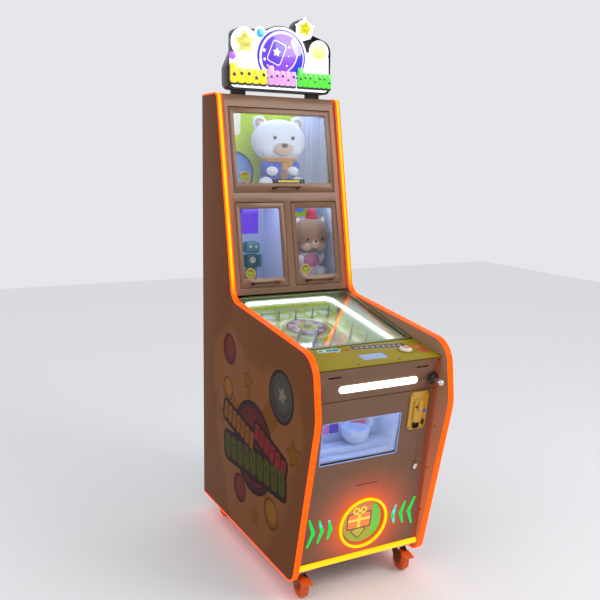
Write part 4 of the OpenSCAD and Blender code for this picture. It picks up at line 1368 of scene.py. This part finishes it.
# ================= lower front =================
def window_seal():
    """Bright moulding round the door window."""
    lip = thick(card("door_window_moulding", 164, 83.5, 12), 1.6)
    hole = thick(card("hole", 158, 77.5, 9), 8)
    hole.data.transform(Matrix.Translation((0, 0, -3)))
    broken(combined(lip, hole, "DIFFERENCE"), 0.5)
    rim = plastic("seal_rim", "tray_plastic", rgb(150, 170, 220), 0.2)
    done(smooth(front.lay(lip, *WINDOW, -2.6)), rim, "front_door")


def display_tray():
    """What stands behind the door window: lamp, bowl, printed cards and a step."""
    tray_top = 0.72
    floor_z = 0.526
    lamp = thick(card("tray_lamp", 176, 8, 3), 4, 1)
    done(Face((-0.05, -0.36, tray_top - 0.004), -Y, X).lay(lamp), shelf_lamp)
    step = thick(card("tray_step", 180, 34, 4), 22, 3)
    done(Face((-0.05, -0.30, floor_z + 0.0005), Y, X).lay(step), tray_white)
    bowl = add("uv_sphere", "tray_bowl", segments=40, ring_count=20, radius=0.052)
    edit(bowl, (bpy.ops.mesh.bisect, {"plane_co": (0, 0, 0.008), "plane_no": (0, 0, 1),
                                     "clear_outer": True, "use_fill": False}))
    modify(bowl, "SOLIDIFY", thickness=0.003, offset=-1)
    bowl.data.transform(Matrix.Translation((-0.008, -0.315, floor_z + 0.0755)))
    done(smooth(outward(bowl), 60), tray_white)
    cards = (
        ("pink", -98, 64, 17, 17, rgb(222, 110, 200)),
        ("violet", -58, 66, 20, 19, rgb(84, 44, 190)),
        ("red", 46, 66, 34, 19, rgb(226, 74, 110)),
        ("white", 104, 68, 11, 20, rgb(236, 242, 255)),
    )
    wall = Face((0, -0.2465, floor_z), Z)
    for name, x, y, half_w_card, half_h_card, colour in cards:
        sheet = thick(card("tray_card_" + name, half_w_card, half_h_card, 4), 1, 0.3)
        done(wall.lay(sheet, x, y, 0), plastic("card_" + name, "backdrop_print", colour, 0.4))


def coin_details():
    """Slot bezel, arrow, reject cup and screws of the coin plate."""
    x, y = COIN_PLATE
    bezel = thick(card("coin_slot_bezel", 9, 24, 4), 2, 0.6)
    done(front.lay(bezel, x + 4, y + 18, 12), coin_yellow, "front_door")
    arrow = add("circle", "coin_pointer", vertices=3, radius=8, fill_type="NGON")
    done(front.lay(thick(arrow, 1.2, 0.4), x - 14, y + 18, 12, 90), ink_black, "front_door")
    cup = thick(card("coin_return_cup", 14, 12, 8), 5, 1.5)
    done(front.lay(sunk(cup, 2.5, 3.5), x - 6, y - 56, 5), black_plastic, "front_door")
    screws("coin_plate_screws", front, [(x + s * 31, y + t * 64) for s in (-1, 1) for t in (-1, 1)],
           2.6, dark_zinc, "front_door", out=4.2)


def upper_panel_details():
    """The plunger's lock nut, and the pressed line across the foot of the door."""
    nut = add("cylinder", "plunger_nut", vertices=6, radius=19, depth=7, location=(0, 0, 3.5))
    settle(nut)
    modify(nut, "BEVEL", width=1.2, segments=2, limit_method="ANGLE")
    bore = add("cylinder", "bore", vertices=32, radius=12.9, depth=20)
    combined(nut, bore, "DIFFERENCE")
    done(smooth(front.lay(nut, *PLUNGER, 3.1)), dark_zinc)
    trim = thick(card("door_trim_line", 250, 0.9), 0.8, 0.2)
    done(front.lay(trim, 0, 40, 0.0), paint, "front_door")


def plunger_coil():
    """The wire spring round the plunger rod, in place of its plain tube."""
    turns, steps, wire, radius = 7, 18, 0.7, 9.0
    low, high = -111.5, -60.5
    curve = bpy.data.curves.new("plunger_coil", "CURVE")
    curve.dimensions, curve.bevel_depth, curve.bevel_resolution = "3D", wire, 2
    line = curve.splines.new("POLY")
    line.points.add(turns * steps)
    for i, spot in enumerate(line.points):
        angle = 2 * math.pi * i / steps
        spot.co = (radius * math.cos(angle), radius * math.sin(angle),
                   low + wire + (high - low - 2 * wire) * i / (turns * steps), 1)
    coil = bpy.data.objects.new("plunger_coil", curve)
    bpy.context.scene.collection.objects.link(coil)
    only(coil)
    bpy.ops.object.convert(target="MESH")
    coil = bpy.context.object
    front.lay(coil, *PLUNGER)
    done(smooth(coil, 60), zinc, "root", ("plunger_spring",))
    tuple(front.normal)
    front.point(228, 704, high)
    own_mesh(coil)


# ================= build =================
dress_nodes()
ease_nodes()
fit_screws()
for body, x, y in (("big_prize_door", -176, -332), ("left_prize_door", -182, -722),
                   ("right_prize_door", 68, -715)):
    round_sticker(body, x, y)
name_strip()
compartment_lamps()
compartment_liners()
white_bear()
brown_bear()
toy_robot()
sign_face()
sign_shapes()
window_seal()
display_tray()
coin_details()
upper_panel_details()
plunger_coil()
